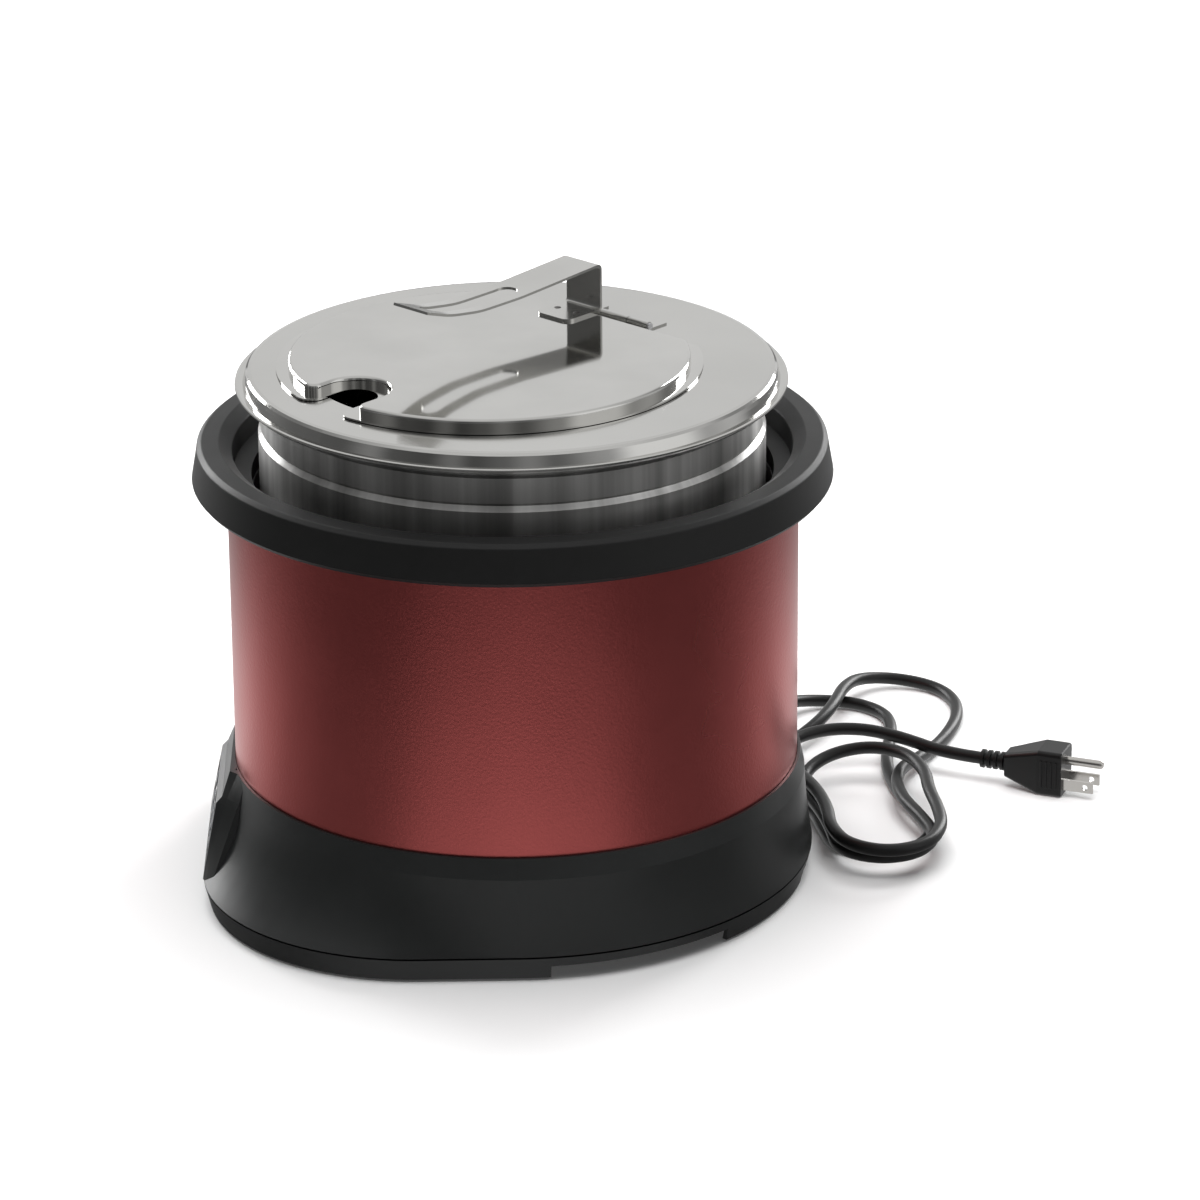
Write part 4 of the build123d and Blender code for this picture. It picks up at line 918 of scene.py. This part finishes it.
@dataclass
class SpotWelds:
    """Shallow weld marks on the foot of the handle.

    Attributes:
        finishes: the object's materials.
        lid_turn: azimuth of the lid's front, in degrees.
        places: their places in the lid's own plan.
        top: height of the foot's upper face.
        radius: radius of a mark.
        rise: height of a mark.
        under: depth of its flat lower side under the face.
    """

    finishes: Finishes
    lid_turn: float = -44.0
    places: tuple[Span, ...] = ((-0.067, -0.030), (-0.067, -0.016))
    top: float = 0.2897
    radius: float = 0.0019
    rise: float = 0.00035
    under: float = 0.0001

    def build(self) -> None:
        """Build the marks as low domes, closed below."""
        turn = math.radians(self.lid_turn)
        for i, (a, b) in enumerate(self.places):
            x = a * math.cos(turn) - b * math.sin(turn)
            y = a * math.sin(turn) + b * math.cos(turn)
            deselect()
            bpy.ops.mesh.primitive_uv_sphere_add(segments=24, ring_count=12, radius=self.radius,
                                                 location=(x, y, self.top))
            dome = bpy.context.active_object
            dome.scale = (1.0, 1.0, self.rise / self.radius)
            bpy.ops.object.transform_apply(location=True, rotation=True, scale=True)
            bpy.ops.object.mode_set(mode="EDIT")
            bpy.ops.mesh.select_all(action="SELECT")
            bpy.ops.mesh.bisect(plane_co=(x, y, self.top - self.under), plane_no=(0.0, 0.0, -1.0),
                                clear_outer=True, use_fill=True)
            bpy.ops.object.mode_set(mode="OBJECT")
            bpy.ops.object.shade_smooth_by_angle(angle=math.radians(40.0))
            settle(dome, f"spot_weld_{i + 1}")
            dress(dome, self.finishes.made["weld_grey"])
            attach(dome, "flap")
            log.info("spot weld %d", i + 1)


@dataclass
class PlugGrips:
    """Moulded grip ribs on the two broad sides of the plug.

    Attributes:
        finishes: the object's materials.
        start: the point at which the cord enters the plug.
        heading: the plug's direction in plan, in degrees.
        half: half of the plug's thickness.
        along: places of the ribs along the plug.
        size: height, width and depth of a rib, half of which lies in the plug.
        edge: radius of a rib's edges.
    """

    finishes: Finishes
    start: Point = (-0.0985, 0.2585, 0.013)
    heading: float = 67.48
    half: float = 0.0105
    along: tuple[float, ...] = (0.0375, 0.0403, 0.0431, 0.0459)
    size: Point = (0.016, 0.0013, 0.0012)
    edge: float = 0.0004

    def build(self) -> bpy.types.Object:
        """Build the ribs and join them.

        Returns:
            The joined ribs.
        """
        angle = math.radians(self.heading)
        ahead = Vector((math.cos(angle), math.sin(angle), 0.0))
        aside = Vector((math.sin(angle), -math.cos(angle), 0.0))
        ribs = []
        for side in (-1, 1):
            for distance in self.along:
                deselect()
                place = Vector(self.start) + ahead * distance + aside * self.half * side
                bpy.ops.mesh.primitive_cube_add(size=1.0, location=place, rotation=(0.0, 0.0, angle))
                rib = bpy.context.active_object
                rib.scale = (self.size[1], self.size[2], self.size[0])
                bpy.ops.object.transform_apply(location=True, rotation=True, scale=True)
                bpy.ops.object.mode_set(mode="EDIT")
                bpy.ops.mesh.select_all(action="SELECT")
                bpy.ops.mesh.bevel(offset=self.edge, segments=3)
                bpy.ops.object.mode_set(mode="OBJECT")
                ribs.append(rib)
        deselect()
        for rib in ribs:
            rib.select_set(True)
        bpy.context.view_layer.objects.active = ribs[0]
        bpy.ops.object.join()
        piece = settle(bpy.context.active_object, "plug_grips")
        dress(piece, self.finishes.made["cord_black"])
        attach(piece, "housing")
        log.info("plug grips")
        return piece


@dataclass(frozen=True)
class SoftLamp:
    """One soft rectangular lamp.

    Attributes:
        name: the lamp's name.
        place: where it hangs.
        size: its width and height.
        watts: its power.
        mirrored: whether glossy surfaces show it.
    """

    name: str
    place: Point
    size: Span
    watts: float
    mirrored: bool = True

    def build(self, aim: Point) -> None:
        """Hang the lamp.

        Args:
            aim: the point that it faces.
        """
        data = bpy.data.lights.new(self.name, "AREA")
        data.shape = "RECTANGLE"
        data.size, data.size_y = self.size
        data.energy = self.watts
        piece = bpy.data.objects.new(self.name, data)
        bpy.context.scene.collection.objects.link(piece)
        piece.visible_camera = False
        piece.visible_glossy = self.mirrored
        piece.location = self.place
        piece.rotation_mode = "QUATERNION"
        piece.rotation_quaternion = (Vector(aim) - Vector(self.place)).to_track_quat("-Z", "Y")


@dataclass
class Studio:
    """Floor, lamps, world and camera.

    Attributes:
        floor_half: half the side of the floor.
        floor_pale: the floor's grey.
        floor_dark: its grey in mirror images, to which the mirror light is added.
        pale_reach: radii between which the floor's mirror image grows dark.
        far_share: share of the mirror image's light that is left beyond them.
        mirror: half turn from the front to the back, and the light of the floor's mirror image there.
        white_reach: radii between which the floor turns plain white to the camera.
        glow: light that the floor adds towards the camera near the object.
        fill: plain light that matt surfaces get from the sides.
        dome: plain light that matt surfaces get from above.
        dome_rise: steepness between which that light grows from one to the other.
        ceiling: light that glossy surfaces find overhead.
        ceiling_rise: steepness between which they find it.
        bands: share of the turn round the object, and the light that glossy surfaces find there.
        lamps_aim: the point that the lamps face.
        lamps: the lamps.
        eye: where the camera stands.
        elevation: how far it looks down, in degrees.
        pan: how far it looks to the right of the axis, in degrees.
        roll: how far it is rolled, in degrees.
        lens: its focal length on a sensor 36 mm wide.
    """

    floor_half: float = 6.0
    floor_pale: float = 0.86
    floor_dark: float = 0.06
    pale_reach: Span = (0.36, 0.66)
    far_share: float = 0.18
    mirror: tuple[Span, ...] = (
        (0.0, 0.62), (0.12, 0.50), (0.26, 0.12), (0.36, 0.10), (0.46, 0.26), (0.56, 0.62), (0.66, 1.0),
        (1.0, 1.0))
    white_reach: Span = (0.7, 1.7)
    glow: float = 0.05
    fill: float = 0.05
    dome: float = 1.25
    dome_rise: Span = (0.65, 0.95)
    ceiling: float = 0.7
    ceiling_rise: Span = (0.55, 0.9)
    bands: tuple[Span, ...] = (
        (0.0, 0.80), (0.05, 0.76), (0.10, 0.42), (0.15, 0.24), (0.22, 0.14), (0.29, 0.11), (0.33, 0.26),
        (0.36, 0.10), (0.40, 0.08), (0.43, 0.20), (0.455, 0.08), (0.49, 0.14), (0.52, 0.26), (0.55, 0.14),
        (0.61, 0.40), (0.65, 0.95), (0.71, 0.95), (0.75, 0.50), (0.79, 0.60), (0.84, 0.30), (0.89, 0.42),
        (0.95, 0.78), (1.0, 0.80))
    lamps_aim: Point = (0.0, 0.0, 0.16)
    lamps: tuple[SoftLamp, ...] = (
        SoftLamp("overhead", (0.1, 0.0, 2.2), (1.9, 1.9), 42.0, False),
        SoftLamp("left_strip", (-1.38, -1.16, 0.75), (0.5, 1.3), 20.0),
        SoftLamp("right_strip", (-1.38, 1.16, 0.75), (0.5, 1.3), 20.0))
    eye: Point = (2.7930, 0.0, 1.2440)
    elevation: float = 21.408
    pan: float = 0.865
    roll: float = -0.772
    lens: float = 169.693

    def ramp(self, tree: bpy.types.NodeTree, share: bpy.types.NodeSocket,
             stops: tuple[Span, ...]) -> bpy.types.NodeSocket:
        """Place a ramp of greys.

        Args:
            tree: the node tree.
            share: the output that runs along the ramp.
            stops: each stop's place and its grey level.

        Returns:
            The ramp's colour output.
        """
        node = tree.nodes.new("ShaderNodeValToRGB")
        ramp = node.color_ramp
        ramp.interpolation = "EASE"
        while len(ramp.elements) < len(stops):
            ramp.elements.new(0.5)
        for element, (position, level) in zip(ramp.elements, stops):
            element.position = position
            element.color = grey(level)
        tree.links.new(share, node.inputs["Fac"])
        return node.outputs["Color"]

    def floor(self) -> None:
        """Lay a pale floor that stays white to the camera and keeps the object's shadow."""
        deselect()
        bpy.ops.mesh.primitive_plane_add(size=2 * self.floor_half, location=(0.0, 0.0, 0.0))
        piece = settle(bpy.context.active_object, "floor")
        material = bpy.data.materials.new("floor_white")
        material.use_nodes = True
        tree = material.node_tree
        shader = tree.nodes["Principled BSDF"]
        shader.inputs["Roughness"].default_value = 0.6
        shader.inputs["Specular IOR Level"].default_value = 0.0
        shader.inputs["Emission Color"].default_value = grey(1.0)
        place = tree.nodes.new("ShaderNodeTexCoord").outputs["Object"]
        split = tree.nodes.new("ShaderNodeSeparateXYZ")
        tree.links.new(place, split.inputs["Vector"])
        rays = tree.nodes.new("ShaderNodeLightPath").outputs
        reach = length_of(tree, place)
        shade = mix(tree, rays["Is Glossy Ray"], grey(self.floor_pale), grey(self.floor_dark))
        tree.links.new(shade, shader.inputs["Base Color"])
        fade = rescale(tree, reach, self.pale_reach, (1.0, self.far_share))
        seen = maths(tree, "MULTIPLY", fade, rays["Is Glossy Ray"])
        angle = maths(tree, "ARCTAN2", maths(tree, "ABSOLUTE", split.outputs["Y"]), split.outputs["X"])
        mirror = self.ramp(tree, maths(tree, "DIVIDE", angle, math.pi), self.mirror)
        bright = maths(tree, "MULTIPLY", mirror, seen)
        haze = rescale(tree, reach, self.white_reach, (self.glow, 1.0), smooth=True)
        glow = maths(tree, "MULTIPLY_ADD", rays["Is Camera Ray"], haze, bright)
        tree.links.new(glow, shader.inputs["Emission Strength"])
        dress(piece, material)

    def world(self) -> None:
        """Light the scene evenly, and give glossy surfaces a studio with darker walls between soft lights."""
        world = bpy.data.worlds.new("studio")
        bpy.context.scene.world = world
        world.use_nodes = True
        tree = world.node_tree
        split = tree.nodes.new("ShaderNodeSeparateXYZ")
        tree.links.new(tree.nodes.new("ShaderNodeTexCoord").outputs["Generated"], split.inputs["Vector"])
        rays = tree.nodes.new("ShaderNodeLightPath").outputs
        angle = maths(tree, "ARCTAN2", split.outputs["Y"], split.outputs["X"])
        turn = rescale(tree, angle, (-math.pi, math.pi), (0.0, 1.0))
        height = rescale(tree, split.outputs["Z"], self.ceiling_rise, (0.0, 1.0))
        walls = mix(tree, height, self.ramp(tree, turn, self.bands), grey(self.ceiling))
        dome = rescale(tree, split.outputs["Z"], self.dome_rise, (self.fill, self.dome))
        light = mix(tree, rays["Is Glossy Ray"], dome, walls)
        shown = mix(tree, rays["Is Camera Ray"], light, grey(1.0))
        tree.links.new(shown, tree.nodes["Background"].inputs["Color"])

    def camera(self) -> None:
        """Set the camera at the photograph's place, turned and rolled as it is there."""
        elevation = math.radians(self.elevation)
        pan = math.radians(self.pan)
        roll = math.radians(self.roll)
        ahead = Vector((-math.cos(elevation), 0.0, -math.sin(elevation)))
        right = Vector((0.0, 1.0, 0.0))
        up = right.cross(ahead)
        look = ahead * math.cos(pan) + right * math.sin(pan)
        side = right * math.cos(pan) - ahead * math.sin(pan)
        across = side * math.cos(roll) + up * math.sin(roll)
        top = up * math.cos(roll) - side * math.sin(roll)
        data = bpy.data.cameras.new("view")
        data.sensor_width = 36.0
        data.lens = self.lens
        data.clip_start = 0.1
        data.clip_end = 60.0
        piece = bpy.data.objects.new("view", data)
        bpy.context.scene.collection.objects.link(piece)
        turned = Matrix((across, top, -look)).transposed().to_4x4()
        turned.translation = Vector(self.eye)
        piece.matrix_world = turned
        bpy.context.scene.camera = piece

    def build(self) -> None:
        """Build the floor, the lights and the camera."""
        self.floor()
        self.world()
        for lamp in self.lamps:
            lamp.build(self.lamps_aim)
        self.camera()
        bpy.context.scene.view_settings.view_transform = "Standard"
        log.info("studio")


def main() -> None:
    """Build every sub-assembly in order."""
    logging.basicConfig(level=logging.INFO)
    finishes = Finishes(Paints(GroupKit()))
    finishes.build()
    finishes.dress_nodes(frame["nodes"])
    grips = PlugGrips(finishes).build()
    PowerCord(finishes, grips=grips).build()
    PanelMarks(finishes).build()
    SpotWelds(finishes).build()
    Studio().build()


if __name__ == "__main__":
    main()
